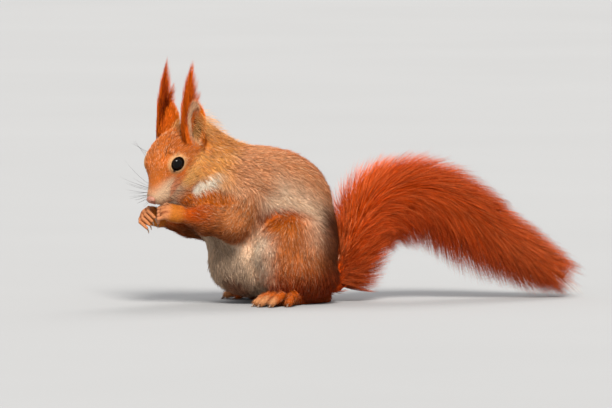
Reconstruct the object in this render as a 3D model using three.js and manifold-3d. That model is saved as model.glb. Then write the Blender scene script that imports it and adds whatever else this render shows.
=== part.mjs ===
// A red squirrel that sits on its haunches and eats from both hands, as a life-size still model.
//
// Millimetres, +Z up. The body faces -X, its left side faces -Y, and Y = 0 is its own middle plane. The head is
// turned to its left and bowed over the hands, and the tail arches back along +X until its tip lies on the floor.
// The solids show the coat's outer surface, so fur is part of every radius below. At the end the whole model is
// moved so that its box stands centred on the origin, with the soles and the tail's tip on Z = 0.

import * as THREE from "three";
import { mergeVertices } from "three/addons/utils/BufferGeometryUtils.js";
import Module from "manifold-3d";

const wasm = await Module();
wasm.setup();

// ---------------------------------------------------------------- driving dimensions

const GAP = 0.3; // air between neighbouring solids
const SIDES = { left: -1, right: 1 }; // sign of Y

const HEAD = {
  nose: [-120.8, -12.6, 61.3], // tip of the nose, in the body's frame
  turn: 25, // degrees to the squirrel's left
  bow: 50, // degrees down from level
};

const EYE = { forward: -25.8, out: 10.4, up: 6.8, radius: 5.1 };

const EAR = {
  forward: -41.8,
  out: 13,
  up: 3.9,
  height: 27, // from the crown to the tip of the pinna
  halfWidth: 8.6,
  halfDepth: 3.6,
  lean: -3, // degrees outward from upright
  tuft: 27, // long winter hair above the pinna's tip
};

const ARMS = {
  left: {
    shoulder: [-57, -21, 68],
    elbow: [-74, -25, 48],
    wrist: [-104.5, -18, 54.8],
    knuckles: [-112, -17.5, 56.6],
    fingertips: [-115.4, -12.4, 52.4],
  },
  right: {
    shoulder: [-57, 21, 68],
    elbow: [-71, 24, 44.5],
    wrist: [-111, 3.5, 51],
    knuckles: [-121, -1.2, 54.6],
    fingertips: [-119.2, -8.6, 49.4],
  },
};
const ARM_RADIUS = { shoulder: 11, elbow: 11, forearm: 10.5, wrist: 6 };
const FINGER = { count: 4, radius: 1.35, spacing: 2.9, claw: 3.5 };

const FOOT = { heel: [-13, 9], out: 33, length: 42, halfWidth: 6.4 };
const TOE = { radius: 2.7, claw: 4.5 };
const TOES = [
  // Start along the foot from its heel, place outward from its middle line, splay in degrees, and length.
  { start: 31, out: -5.4, splay: -14, length: 15 },
  { start: 36, out: -3.0, splay: -7, length: 18 },
  { start: 37, out: 0.2, splay: 2, length: 19 },
  { start: 36, out: 3.4, splay: 12, length: 18 },
  { start: 30, out: 5.6, splay: 24, length: 15 },
];

const TAIL = {
  // The brush from root to tip: middle in the plane Y = 0, half breadth in that plane, half thickness across it.
  middle: [
    { x: 11, z: 8, broad: 13, thick: 10 },
    { x: 14, z: 19, broad: 16, thick: 12 },
    { x: 15.5, z: 32, broad: 19.5, thick: 14.5 },
    { x: 17, z: 44.5, broad: 23.5, thick: 16 },
    { x: 22, z: 56, broad: 29.5, thick: 17 },
    { x: 35, z: 59.5, broad: 29.5, thick: 18 },
    { x: 46.5, z: 60.2, broad: 30.2, thick: 18 },
    { x: 61, z: 56.5, broad: 29.5, thick: 18 },
    { x: 76, z: 47.5, broad: 28.5, thick: 18 },
    { x: 92, z: 35, broad: 27, thick: 17 },
    { x: 107.5, z: 27.5, broad: 22.8, thick: 16 },
    { x: 121, z: 20, broad: 20, thick: 14.5 },
    { x: 133, z: 13.5, broad: 17, thick: 12.5 },
    { x: 145, z: 7.5, broad: 12.5, thick: 9 },
  ],
  cuts: [0.47, 0.27, 0.72], // shares of its length: middle first, then root half, then tip half
};

const EYE_GLASS = new THREE.MeshStandardMaterial({ color: 0x0c0806, roughness: 0.05, metalness: 0 });
const ORANGE_COAT = new THREE.MeshStandardMaterial({ color: 0xc0672c, roughness: 0.85, metalness: 0 });
const BACK_COAT = new THREE.MeshStandardMaterial({ color: 0xb9835b, roughness: 0.85, metalness: 0 });
const TAIL_COAT = new THREE.MeshStandardMaterial({ color: 0xa03f12, roughness: 0.85, metalness: 0 });
const BARE_SKIN = new THREE.MeshStandardMaterial({ color: 0xc9886a, roughness: 0.6, metalness: 0 });
const CLAW_HORN = new THREE.MeshStandardMaterial({ color: 0x4a3a30, roughness: 0.35, metalness: 0 });

// ---------------------------------------------------------------- frames and small helpers

const vec = (x, y, z) => new THREE.Vector3(x, y, z);
const radians = THREE.MathUtils.degToRad;
const lerp = THREE.MathUtils.lerp;

/** Reads a list of values at t from 0 to 1, with straight lines between them. */
function along(values, t) {
  const place = THREE.MathUtils.clamp(t, 0, 1) * (values.length - 1);
  const i = Math.min(Math.floor(place), values.length - 2);
  return lerp(values[i], values[i + 1], place - i);
}

// The head's own axes: forward along the muzzle, left, and up out of the crown.
const turn = radians(HEAD.turn);
const bow = radians(HEAD.bow);
const headHeading = vec(-Math.cos(turn), -Math.sin(turn), 0);
const headForward = headHeading.clone().multiplyScalar(Math.cos(bow)).setZ(-Math.sin(bow));
const headLeft = vec(Math.sin(turn), -Math.cos(turn), 0);
const headUp = headForward.clone().cross(headLeft);
const headMatrix = new THREE.Matrix4()
  .makeBasis(headForward, headLeft, headUp)
  .setPosition(vec(...HEAD.nose));

/** A place on the head, from the nose's tip: forward, left and up. */
const onHead = (forward, left, up) => vec(forward, left, up).applyMatrix4(headMatrix);

// ---------------------------------------------------------------- distance fields

// A field takes a point and returns its distance to a rounded form, negative inside.

function ellipsoid(centre, radii, axes = new THREE.Matrix4()) {
  const inverse = axes.clone().setPosition(centre).invert();
  const [rx, ry, rz] = radii;
  const q = vec(0, 0, 0);
  return (p) => {
    q.copy(p).applyMatrix4(inverse);
    const k0 = Math.hypot(q.x / rx, q.y / ry, q.z / rz);
    const k1 = Math.hypot(q.x / rx ** 2, q.y / ry ** 2, q.z / rz ** 2);
    return k1 > 0 ? (k0 * (k0 - 1)) / k1 : -Math.min(rx, ry, rz);
  };
}

/** An ellipsoid in the head's own axes. */
const headLump = (place, radii) => ellipsoid(onHead(...place), radii, headMatrix);

/** A bar with round ends that tapers from radius ra at a to rb at b. */
function bar(a, b, ra, rb) {
  const run = b.clone().sub(a);
  const q = vec(0, 0, 0);
  return (p) => {
    q.copy(p).sub(a);
    const t = THREE.MathUtils.clamp(q.dot(run) / run.lengthSq(), 0, 1);
    return q.addScaledVector(run, -t).length() - lerp(ra, rb, t);
  };
}

/** Forms melted together over a seam about `soft` wide. */
function blend(soft, ...fields) {
  const melt = (a, b) => Math.min(a, b) - Math.max(soft - Math.abs(a - b), 0) ** 2 / (4 * soft);
  return (p) => fields.map((field) => field(p)).reduce(melt);
}

/** The same form, thicker all over. */
const grown = (field, amount) => (p) => field(p) - amount;

// ---------------------------------------------------------------- surfaces

/** How far a ray runs from a point inside a field before it comes out, up to `reach`. */
function rayLength(field, from, direction, reach) {
  const p = vec(0, 0, 0);
  const outside = (r) => field(p.copy(from).addScaledVector(direction, r)) > 0;
  const steps = 48;
  let high = reach;
  for (let i = 1; i <= steps; i++) {
    if (outside((reach * i) / steps)) {
      high = (reach * i) / steps;
      break;
    }
  }
  let low = high - reach / steps;
  for (let i = 0; i < 18; i++) {
    const middle = (low + high) / 2;
    if (outside(middle)) high = middle;
    else low = middle;
  }
  return high;
}

/** A ball of triangles shrunk onto a field from a centre inside it. */
function wrap(field, centre, detail, reach = 120) {
  const ball = new THREE.IcosahedronGeometry(1, detail);
  ball.deleteAttribute("normal");
  ball.deleteAttribute("uv");
  const geometry = mergeVertices(ball, 1e-5);
  const position = geometry.getAttribute("position");
  for (let i = 0; i < position.count; i++) {
    const direction = vec(0, 0, 0).fromBufferAttribute(position, i).normalize();
    const p = centre.clone().addScaledVector(direction, rayLength(field, centre, direction, reach));
    position.setXYZ(i, p.x, p.y, p.z);
  }
  return solid(geometry);
}

/**
 * A closed skin of oval rings along a curve. `wide` is the half width along `side`, `deep` the half depth across
 * it, both read from end to end. The ends are round over the share `cap` of the length, and `grow` thickens it all.
 */
function sweep({ spine, side, wide, deep = wide, rings = 10, sides = 8, cap = 0.12, grow = 0 }) {
  const curve = new THREE.CatmullRomCurve3(spine, false, "centripetal");
  const rounding = (t) => {
    const inset = Math.min(t, 1 - t) / cap;
    return inset >= 1 ? 1 : Math.sqrt(1 - (1 - inset) ** 2);
  };
  const vertices = [];
  const addPoint = (p) => vertices.push(p.x, p.y, p.z);
  addPoint(curve.getPointAt(0).addScaledVector(curve.getTangentAt(0), -grow));
  for (let i = 1; i < rings; i++) {
    const share = i / rings;
    const t = (share + (1 - Math.cos(Math.PI * share)) / 2) / 2; // a little closer together near the ends
    const centre = curve.getPointAt(t);
    const depthAxis = curve.getTangentAt(t).cross(side).normalize();
    const widthAxis = depthAxis.clone().cross(curve.getTangentAt(t)).normalize();
    for (let j = 0; j < sides; j++) {
      const angle = (2 * Math.PI * j) / sides;
      const w = Math.cos(angle) * (along(wide, t) * rounding(t) + grow);
      const d = Math.sin(angle) * (along(deep, t) * rounding(t) + grow);
      addPoint(centre.clone().addScaledVector(widthAxis, w).addScaledVector(depthAxis, d));
    }
  }
  addPoint(curve.getPointAt(1).addScaledVector(curve.getTangentAt(1), grow));

  const ringVertex = (i, j) => 1 + (i - 1) * sides + (j % sides);
  const last = vertices.length / 3 - 1;
  const faces = [];
  for (let j = 0; j < sides; j++) {
    faces.push(0, ringVertex(1, j + 1), ringVertex(1, j));
    faces.push(last, ringVertex(rings - 1, j), ringVertex(rings - 1, j + 1));
    for (let i = 1; i < rings - 1; i++) {
      faces.push(ringVertex(i, j), ringVertex(i, j + 1), ringVertex(i + 1, j + 1));
      faces.push(ringVertex(i, j), ringVertex(i + 1, j + 1), ringVertex(i + 1, j));
    }
  }
  const geometry = new THREE.BufferGeometry();
  geometry.setAttribute("position", new THREE.Float32BufferAttribute(vertices, 3));
  geometry.setIndex(faces);
  return solid(geometry);
}

// ---------------------------------------------------------------- solids: join, cut, part

/** A closed geometry as a solid that can be joined and cut. */
function solid(geometry) {
  const bare = geometry.clone();
  bare.deleteAttribute("normal");
  bare.deleteAttribute("uv");
  const merged = mergeVertices(bare, 1e-4);
  return new wasm.Manifold(
    new wasm.Mesh({
      numProp: 3,
      vertProperties: new Float32Array(merged.getAttribute("position").array),
      triVerts: new Uint32Array(merged.index.array),
    }),
  );
}

/** Everything on the side of a plane that `normal` points to, as one large block. */
function halfSpace(point, normal) {
  const size = 800;
  const box = new THREE.BoxGeometry(size, size, size);
  box.translate(0, 0, size / 2);
  box.applyQuaternion(new THREE.Quaternion().setFromUnitVectors(vec(0, 0, 1), normal));
  box.translate(point.x, point.y, point.z);
  return solid(box);
}

/** Parts a solid at a plane, with the gap between the pieces: [ahead of the plane, behind it]. */
function partAt(whole, point, direction) {
  const normal = direction.clone().normalize();
  const ahead = halfSpace(point.clone().addScaledVector(normal, GAP / 2), normal);
  const behind = halfSpace(point.clone().addScaledVector(normal, -GAP / 2), normal.clone().negate());
  return [whole.intersect(ahead), whole.intersect(behind)];
}

/** The largest of a solid's separate pieces. */
const largest = (whole) => whole.decompose().reduce((a, b) => (a.volume() > b.volume() ? a : b));

const cutBy = (whole, ...tools) => tools.reduce((left, tool) => left.subtract(tool), whole);

const squirrel = new THREE.Group();
squirrel.name = "red_squirrel";
const belowFloor = halfSpace(vec(0, 0, 0), vec(0, 0, -1));

/** Adds a solid, cut off level at the floor, to the model as a named mesh. */
function addNode(name, whole, material) {
  const mesh = largest(whole.subtract(belowFloor)).getMesh();
  const geometry = new THREE.BufferGeometry();
  geometry.setAttribute("position", new THREE.BufferAttribute(mesh.vertProperties, 3));
  geometry.setIndex(new THREE.BufferAttribute(mesh.triVerts, 1));
  geometry.computeVertexNormals();
  const node = new THREE.Mesh(geometry, material);
  node.name = name;
  squirrel.add(node);
}

// ---------------------------------------------------------------- the masses of the body

const headField = blend(
  5,
  headLump([-34, 0, 3.5], [18.5, 16.4, 16]), // braincase
  headLump([-27, 0, -5], [15, 16.2, 12]), // cheeks and jaw
  bar(onHead(-21, 0, 1), onHead(-7.2, 0, -0.8), 12.2, 5.8), // muzzle
  headLump([-9.5, 4, -3], [6.5, 5, 4.8]), // whisker pads
  headLump([-9.5, -4, -3], [6.5, 5, 4.8]),
  headLump([-12, 0, -7.4], [6, 5, 4.2]), // chin
  headLump([EYE.forward, EYE.out - 4.4, EYE.up], [8, 6, 7]), // brows and lids
  headLump([EYE.forward, 4.4 - EYE.out, EYE.up], [8, 6, 7]),
);

const torsoField = blend(
  14,
  bar(onHead(-38, 0, -2), vec(-62, 0, 68), 15.5, 25), // neck
  bar(vec(-92, -2, 110.5), vec(-72, 0, 89), 8, 13), // ruff behind the ears
  ellipsoid(vec(-94, -2, 63), [13, 11.5, 12.5]), // throat
  ellipsoid(vec(-71, 0, 58), [20, 21, 22]), // chest
  ellipsoid(vec(-60, -16, 68), [18, 12, 19]), // shoulders
  ellipsoid(vec(-60, 16, 68), [18, 12, 19]),
  ellipsoid(vec(-44.5, 0, 57), [41, 32, 38]), // back
  ellipsoid(vec(-31.5, 0, 34), [31, 33, 28]), // rump
  ellipsoid(vec(-54, 0, 31), [27, 26, 25]), // belly
  ellipsoid(vec(-59, 0, 20), [19.5, 23, 14.5]), // its lower fold
);

const bodyField = blend(9, headField, torsoField);

/** One haunch: thigh, and the folded shank under it. */
const haunchField = (y) =>
  blend(
    8,
    ellipsoid(vec(-33, y * 23, 30), [26.5, 16, 27]),
    ellipsoid(vec(-43, y * 27, 43), [14, 10.5, 13.5]), // knee
    bar(vec(-50, y * 27, 31), vec(-44, y * 28, 14), 10.5, 9.5),
    ellipsoid(vec(-25, y * 20, 17), [20, 15, 14.5]),
  );

// ---------------------------------------------------------------- limbs

/** A straight length of arm with round ends. It starts `past` behind `from` and tapers along `radii`. */
function armLength({ from, to, past, radii, grow }) {
  const run = to.clone().sub(from);
  const length = run.length() + past;
  const at = (distance) => from.clone().addScaledVector(run.clone().normalize(), distance - past);
  return sweep({
    spine: [at(0), at(length * 0.5), at(length)],
    side: vec(0, 1, 0),
    wide: radii,
    rings: 8,
    sides: 10,
    cap: past / length,
    grow,
  });
}

/** Both lengths of an arm, which run through each other round the elbow. */
function armLengths({ shoulder, elbow, wrist }, grow = 0) {
  const [a, b, c] = [vec(...shoulder), vec(...elbow), vec(...wrist)];
  const { shoulder: ra, elbow: rb, forearm: rf, wrist: rc } = ARM_RADIUS;
  const forearmRadii = [rb, rb, rb, rf, rf, lerp(rf, rc, 0.4), lerp(rf, rc, 0.8), rc];
  return {
    upper: armLength({ from: b, to: a, past: rb, radii: [rb, ra], grow }),
    lower: armLength({ from: b, to: c, past: rb, radii: forearmRadii, grow }),
  };
}

/** Parts an arm at its elbow, across the bend: [forearm, upper arm]. */
function atElbow({ upper, lower }, { shoulder, elbow, wrist }) {
  const joint = vec(...elbow);
  const toWrist = vec(...wrist).sub(joint).normalize();
  const toShoulder = vec(...shoulder).sub(joint).normalize();
  const across = toWrist.sub(toShoulder);
  return [partAt(lower, joint, across)[0], partAt(upper, joint, across)[1]];
}

/** A tapered, hooked claw that starts just clear of a digit's tip. */
function claw(tip, direction, down, length, radius) {
  const start = tip.clone().addScaledVector(direction, GAP);
  const at = (ahead, drop) =>
    start.clone().addScaledVector(direction, length * ahead).addScaledVector(down, length * drop);
  return sweep({
    spine: [start, at(0.55, 0.12), at(0.9, 0.5)],
    side: direction.clone().cross(down).normalize(),
    wide: [radius, radius, radius * 0.6, 0.15],
    rings: 4,
    sides: 5,
    cap: 0.1,
  });
}

/** The axes of one hind foot, and a way to find a place on it from its heel. */
function footFrame(y) {
  const angle = radians(FOOT.out);
  const ahead = vec(-Math.cos(angle), y * Math.sin(angle), 0);
  const outward = vec(Math.sin(angle), y * Math.cos(angle), 0);
  const heel = vec(FOOT.heel[0], y * FOOT.heel[1], 0);
  const at = (forward, out, height) =>
    heel.clone().addScaledVector(ahead, forward).addScaledVector(outward, out).setZ(height);
  return { ahead, outward, at };
}

/** The room that a hind foot needs under the body. */
function footRoom(y) {
  const { outward, at } = footFrame(y);
  return sweep({
    spine: [at(-6, 0, 3.6), at(14, 0, 3.6), at(32, 0, 4.4), at(60, 1, 4.4)],
    side: outward,
    wide: [7, 7.5, 9, 12, 14, 14],
    deep: [6.5, 6.5, 7, 8, 8, 8],
    rings: 6,
    sides: 8,
  });
}

/** A hind foot flat on the floor with five long toes, and their claws. */
function foot(y) {
  const { ahead, outward, at } = footFrame(y);
  let whole = sweep({
    spine: [at(-4, 0, 3.6), at(14, 0, 3.6), at(28, 0, 4), at(FOOT.length - 2, 0, 4)],
    side: outward,
    wide: [4.6, 4.8, 5.4, FOOT.halfWidth, FOOT.halfWidth + 0.4, FOOT.halfWidth],
    deep: [4.8, 4.4, 4.2, 4.4, 4.4, 4],
    rings: 7,
    sides: 8,
    cap: 0.14,
  });
  const claws = [];
  for (const { start, out, splay, length } of TOES) {
    const run = ahead
      .clone()
      .multiplyScalar(Math.cos(radians(splay)))
      .addScaledVector(outward, Math.sin(radians(splay)));
    const reach = (share, height) => at(start, out, 0).addScaledVector(run, length * share).setZ(height);
    const toe = sweep({
      spine: [reach(0, 4.6), reach(0.36, 6.4), reach(0.7, 4.8), reach(1, 2.4)],
      side: outward,
      wide: [TOE.radius, TOE.radius, TOE.radius * 1.05, TOE.radius * 0.9],
      rings: 5,
      sides: 5,
      cap: 0.16,
    });
    whole = whole.add(toe);
    const aim = run.clone().multiplyScalar(0.96).setZ(-0.28);
    claws.push(claw(reach(1, 2.4), aim, vec(0, 0, -1), TOE.claw, 0.85));
  }
  return { whole, claws };
}

/** A hand curled inwards round the mouthful, with its claws. */
function hand(side) {
  const [wrist, knuckles, fingertips] = ["wrist", "knuckles", "fingertips"].map((k) => vec(...ARMS[side][k]));
  const ahead = knuckles.clone().sub(wrist).normalize();
  const inward = fingertips.clone().sub(knuckles).normalize();
  const stack = ahead.clone().cross(inward).normalize();
  stack.multiplyScalar(Math.sign(stack.z));
  const back = stack.clone().cross(ahead).normalize();
  const palmCentre = wrist.clone().lerp(knuckles, 0.62);
  const palmField = blend(
    3,
    ellipsoid(palmCentre, [7, 3.8, 6.8], new THREE.Matrix4().makeBasis(ahead, back, stack)),
    bar(wrist, palmCentre, 5.4, 4.4),
  );
  let whole = wrap(palmField, palmCentre, 1, 30);
  let room = wrap(grown(palmField, GAP), palmCentre, 1, 30);
  const claws = [];
  for (let i = 0; i < FINGER.count; i++) {
    const place = ((FINGER.count - 1) / 2 - i) * FINGER.spacing;
    const root = knuckles.clone().addScaledVector(ahead, -5).addScaledVector(stack, place * 0.8);
    const knuckle = knuckles.clone().addScaledVector(stack, place);
    const tip = fingertips.clone().addScaledVector(stack, place * 0.95);
    const bend = knuckle.clone().lerp(tip, 0.45).addScaledVector(ahead, 2.4);
    const finger = (grow) =>
      sweep({
        spine: [root, knuckle, bend, tip],
        side: stack,
        wide: [FINGER.radius * 1.1, FINGER.radius * 1.1, FINGER.radius, FINGER.radius * 0.9],
        rings: 5,
        sides: 5,
        cap: 0.14,
        grow,
      });
    whole = whole.add(finger(0));
    room = room.add(finger(GAP));
    const aim = tip.clone().sub(bend).normalize();
    claws.push(claw(tip, aim, stack.clone().negate(), FINGER.claw, 0.6));
  }
  return { whole, room, claws };
}

// ---------------------------------------------------------------- head furniture

/** An upright ear cupped to the side, and the long hair that carries on above it. */
function ear(side) {
  const out = headLeft.clone().multiplyScalar(-SIDES[side]); // the head's left is positive
  const lean = radians(EAR.lean);
  const rise = vec(0, 0, Math.cos(lean)).addScaledVector(out, Math.sin(lean));
  const base = onHead(EAR.forward, -SIDES[side] * EAR.out, EAR.up);
  const at = (height, forward = 0, outward = 0) =>
    base
      .clone()
      .addScaledVector(rise, height)
      .addScaledVector(headHeading, forward)
      .addScaledVector(out, outward);

  const pinna = sweep({
    spine: [at(-8), at(EAR.height * 0.3), at(EAR.height * 0.7, 0.6), at(EAR.height, 2)],
    side: headHeading,
    wide: [0.58, 0.93, 1, 1, 0.88, 0.65, 0.28].map((share) => share * EAR.halfWidth),
    deep: [1.1, 1, 1, 0.9, 0.8, 0.6, 0.4].map((share) => share * EAR.halfDepth),
    rings: 9,
    sides: 10,
    cap: 0.1,
  });
  const bowl = at(EAR.height * 0.47, -1.6, EAR.halfDepth);
  const bowlAxes = new THREE.Matrix4().makeBasis(headHeading, out, rise);
  const concha = wrap(ellipsoid(bowl, [4.8, 4, 10.5], bowlAxes), bowl, 1, 30);
  const tuft = (grow) =>
    sweep({
      spine: [
        at(EAR.height * 0.3, 6.2),
        at(EAR.height * 0.85, 6.2),
        at(EAR.height + EAR.tuft * 0.45, 5, 0.4),
        at(EAR.height + EAR.tuft, 0.6, 2.4),
      ],
      side: headHeading,
      wide: [2, 3.4, 5.2, 6, 4.6, 2.2, 0.5],
      deep: [2, 2.6, 3, 3, 2.4, 1.4, 0.5],
      rings: 9,
      sides: 8,
      cap: 0.08,
      grow,
    });
  return { pinna: cutBy(pinna, concha, tuft(GAP)), tuft: tuft(0) };
}

const noseField = blend(
  1.5,
  headLump([-2.4, 0, 0.6], [2.2, 3.6, 2.4]),
  headLump([-3.2, 0, -1.6], [1.8, 1.4, 2.6]), // the cleft lip under it
);

/** A nostril opens to the front and side. */
const nostril = (left) => {
  const place = [-0.9, left * 2.1, 0.4];
  return wrap(headLump(place, [1.3, 0.8, 0.7]), onHead(...place), 0, 10);
};

// ---------------------------------------------------------------- tail

function tailWhole() {
  return sweep({
    spine: TAIL.middle.map(({ x, z }) => vec(x, 0, z)),
    side: vec(0, 1, 0),
    wide: TAIL.middle.map(({ thick }) => thick),
    deep: TAIL.middle.map(({ broad }) => broad),
    rings: 31,
    sides: 12,
    cap: 0.05,
  });
}

/** Parts the tail across its own run: [towards the tip, towards the root]. */
function partTail(whole, share) {
  const curve = new THREE.CatmullRomCurve3(TAIL.middle.map(({ x, z }) => vec(x, 0, z)), false, "centripetal");
  return partAt(whole, curve.getPointAt(share), curve.getTangentAt(share));
}

// ---------------------------------------------------------------- assembly

const torsoCentre = vec(-56, 0, 52);
const headCentre = onHead(-30, 0, 0);
const headBounds = ellipsoid(onHead(-23, 0, 1), [32, 30, 22], headMatrix);
const bodyWhole = wrap(bodyField, torsoCentre, 5);
const bodyRoom = wrap(grown(bodyField, GAP), torsoCentre, 5);
const headWhole = wrap(bodyField, headCentre, 6, 60).intersect(wrap(headBounds, headCentre, 2, 60));
const headRoom = wrap(grown(headBounds, GAP), headCentre, 2, 60);
const headSurfaceRoom = wrap(grown(bodyField, GAP), headCentre, 4, 60);

const rooms = { arms: [], haunches: [], feet: [], hands: [], eyes: [] };
const made = {};
for (const [side, y] of Object.entries(SIDES)) {
  const thighCentre = vec(-33, y * 24, 28);
  const eyeCentre = onHead(EYE.forward, -y * EYE.out, EYE.up);
  made[side] = {
    arm: armLengths(ARMS[side]),
    hand: hand(side),
    foot: foot(y),
    haunch: wrap(haunchField(y), thighCentre, 3),
    eye: solid(new THREE.SphereGeometry(EYE.radius, 14, 9).translate(...eyeCentre.toArray())),
    ear: ear(side),
  };
  const armRoom = armLengths(ARMS[side], GAP * 1.5);
  rooms.arms.push(armRoom.upper.add(armRoom.lower));
  rooms.hands.push(made[side].hand.room);
  rooms.feet.push(footRoom(y));
  rooms.haunches.push(wrap(grown(haunchField(y), GAP), thighCentre, 3));
  rooms.eyes.push(
    solid(new THREE.SphereGeometry(EYE.radius + GAP, 14, 9).translate(...eyeCentre.toArray())),
  );
}

const nose = cutBy(wrap(noseField, onHead(-2.6, 0, 0), 2, 10), nostril(1), nostril(-1));
const noseRoom = wrap(grown(noseField, GAP), onHead(-2.6, 0, 0), 2, 10);
addNode("head", cutBy(headWhole, noseRoom, ...rooms.eyes, ...rooms.arms, ...rooms.hands), ORANGE_COAT);
addNode("nose", nose, BARE_SKIN);

const headless = cutBy(bodyWhole, headRoom, ...rooms.arms, ...rooms.haunches, ...rooms.feet);
const [neck, trunk] = partAt(headless, vec(-74, 0, 82), vec(-0.8, 0, 0.6));
const [chest, abdomen] = partAt(trunk, vec(-54, 0, 60), vec(-0.78, 0, 0.62));
addNode("neck", neck, ORANGE_COAT);
addNode("chest", chest, BACK_COAT);
addNode("abdomen", abdomen, BACK_COAT);

for (const [side, y] of Object.entries(SIDES)) {
  const { arm, hand: grip, foot: sole, haunch, eye, ear: pinnaAndTuft } = made[side];
  const [thigh, shank] = partAt(cutBy(haunch, ...rooms.arms, ...rooms.feet), vec(-33, 0, 17), vec(0, 0, 1));
  const [forearm, upperArm] = atElbow(arm, ARMS[side]);
  addNode("thigh_" + side, thigh, BACK_COAT);
  addNode("shank_" + side, shank, BACK_COAT);
  addNode("upper_arm_" + side, upperArm, BACK_COAT);
  addNode("forearm_" + side, cutBy(forearm, ...rooms.hands), ORANGE_COAT);
  addNode("foot_" + side, sole.whole, ORANGE_COAT);
  sole.claws.forEach((c, i) => addNode(`toe_claw_${side}_${i + 1}`, c, CLAW_HORN));
  addNode("hand_" + side, grip.whole, BARE_SKIN);
  grip.claws.forEach((c, i) => addNode(`finger_claw_${side}_${i + 1}`, c, CLAW_HORN));
  addNode("eye_" + side, eye, EYE_GLASS);
  addNode("ear_" + side, cutBy(pinnaAndTuft.pinna, headSurfaceRoom, bodyRoom), ORANGE_COAT);
  addNode("ear_tuft_" + side, cutBy(pinnaAndTuft.tuft, headSurfaceRoom), TAIL_COAT);
}

const tail = cutBy(tailWhole(), bodyRoom, ...rooms.haunches, ...rooms.feet);
const [tipHalf, rootHalf] = partTail(tail, TAIL.cuts[0]);
const [tail2, tail1] = partTail(rootHalf, TAIL.cuts[1]);
const [tail4, tail3] = partTail(tipHalf, TAIL.cuts[2]);
[tail1, tail2, tail3, tail4].forEach((length, i) => addNode(`tail_${i + 1}`, length, TAIL_COAT));

const box = new THREE.Box3().setFromObject(squirrel);
squirrel.position.set(-(box.min.x + box.max.x) / 2, -(box.min.y + box.max.y) / 2, 0);

export default squirrel;
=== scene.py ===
"""Skin, coat, eyes and claws of a red squirrel that sits and eats from both hands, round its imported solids.

Forms are worked out in millimetres in the squirrel's own frame: it faces -X, its left side faces -Y, Y = 0 is
its middle plane and the floor is Z = 0. The left eye's solid says where that frame lies in the row frame. One
skin, taken from a distance field, stands for all the flesh. The coat is built on it from closed tapered tufts
that follow the lie of the hair, and skin and coat share one set of markings.
"""

import math
from collections import namedtuple

import bpy
import numpy as np
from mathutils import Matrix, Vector


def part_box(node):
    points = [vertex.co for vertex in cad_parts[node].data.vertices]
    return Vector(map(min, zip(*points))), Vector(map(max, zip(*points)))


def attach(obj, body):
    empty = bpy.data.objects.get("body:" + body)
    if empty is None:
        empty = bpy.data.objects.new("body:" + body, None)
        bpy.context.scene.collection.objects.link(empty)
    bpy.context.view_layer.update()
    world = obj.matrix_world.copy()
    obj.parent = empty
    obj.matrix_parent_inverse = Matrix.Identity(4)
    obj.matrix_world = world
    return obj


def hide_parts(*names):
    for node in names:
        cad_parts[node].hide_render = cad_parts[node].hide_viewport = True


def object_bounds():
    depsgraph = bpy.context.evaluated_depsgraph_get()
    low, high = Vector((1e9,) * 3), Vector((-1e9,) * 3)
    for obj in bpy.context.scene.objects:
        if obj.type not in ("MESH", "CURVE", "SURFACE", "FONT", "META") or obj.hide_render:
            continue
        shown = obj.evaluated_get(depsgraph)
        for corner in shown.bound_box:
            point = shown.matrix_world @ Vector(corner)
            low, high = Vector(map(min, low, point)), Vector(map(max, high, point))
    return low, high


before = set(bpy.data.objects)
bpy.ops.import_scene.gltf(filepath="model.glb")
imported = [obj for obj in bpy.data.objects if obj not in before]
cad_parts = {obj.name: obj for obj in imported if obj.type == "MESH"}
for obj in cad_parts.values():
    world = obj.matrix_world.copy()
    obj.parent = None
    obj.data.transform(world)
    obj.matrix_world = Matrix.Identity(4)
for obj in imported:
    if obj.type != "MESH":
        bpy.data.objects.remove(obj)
cad_low, cad_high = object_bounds()

# ---------------------------------------------------------------- driving dimensions, in millimetres

SIDES = {"left": -1, "right": 1}  # sign of Y
NOSE = np.array([-120.8, -12.6, 61.3])
HEAD_TURN = math.radians(25)
HEAD_BOW = math.radians(50)
EYE = {"forward": -25.8, "out": 10.4, "up": 6.8, "radius": 5.1, "opening": (4.3, 3.65)}
EAR = {"forward": -41.8, "out": 13.0, "up": 3.9, "height": 27.0, "tuft": 27.0, "lean": math.radians(-3)}
ARMS = {  # shoulder, elbow, wrist, knuckles and fingertips
    "left": [(-57, -21, 68), (-74, -25, 48), (-104.5, -18, 54.8), (-112, -17.5, 56.6), (-115.4, -12.4, 52.4)],
    "right": [(-57, 21, 68), (-71, 24, 44.5), (-111, 3.5, 51), (-121, -1.2, 54.6), (-119.2, -8.6, 49.4)],
}
ARMS = {side: np.array(joints) for side, joints in ARMS.items()}
ARM_RADII = (11, 11, 9.9, 6)  # at the shoulder, the elbow, the forearm's middle and the wrist
FINGER = {"count": 4, "radius": 1.35, "spacing": 2.9, "claw": (3.5, 0.55)}  # the claw's length and radius
FOOT = {"heel": (-13, 9), "out": math.radians(33)}
TOE = {"radius": 2.6, "claw": (4.5, 0.8)}
TOES = [  # start along the foot from its heel, place outward, splay in degrees, length
    (31, -5.4, -14, 15),
    (36, -3.0, -7, 18),
    (37, 0.2, 2, 19),
    (36, 3.4, 12, 18),
    (30, 5.6, 24, 15),
]
# The tail's hair: x and z of its middle, half its breadth in that plane and half its thickness across it.
BRUSH = np.array([
    (11, 8, 13, 10), (14, 19, 16, 12), (15.5, 32, 19.5, 14.5), (17, 44.5, 23.5, 16), (22, 56, 29.5, 17),
    (35, 59.5, 29.5, 18), (46.5, 60.2, 30.2, 18), (61, 56.5, 29.5, 18), (76, 47.5, 28.5, 18),
    (92, 35, 27, 17), (107.5, 27.5, 22.8, 16), (121, 20, 20, 14.5), (133, 13.5, 17, 12.5),
    (145, 7.5, 12.5, 9),
])
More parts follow.
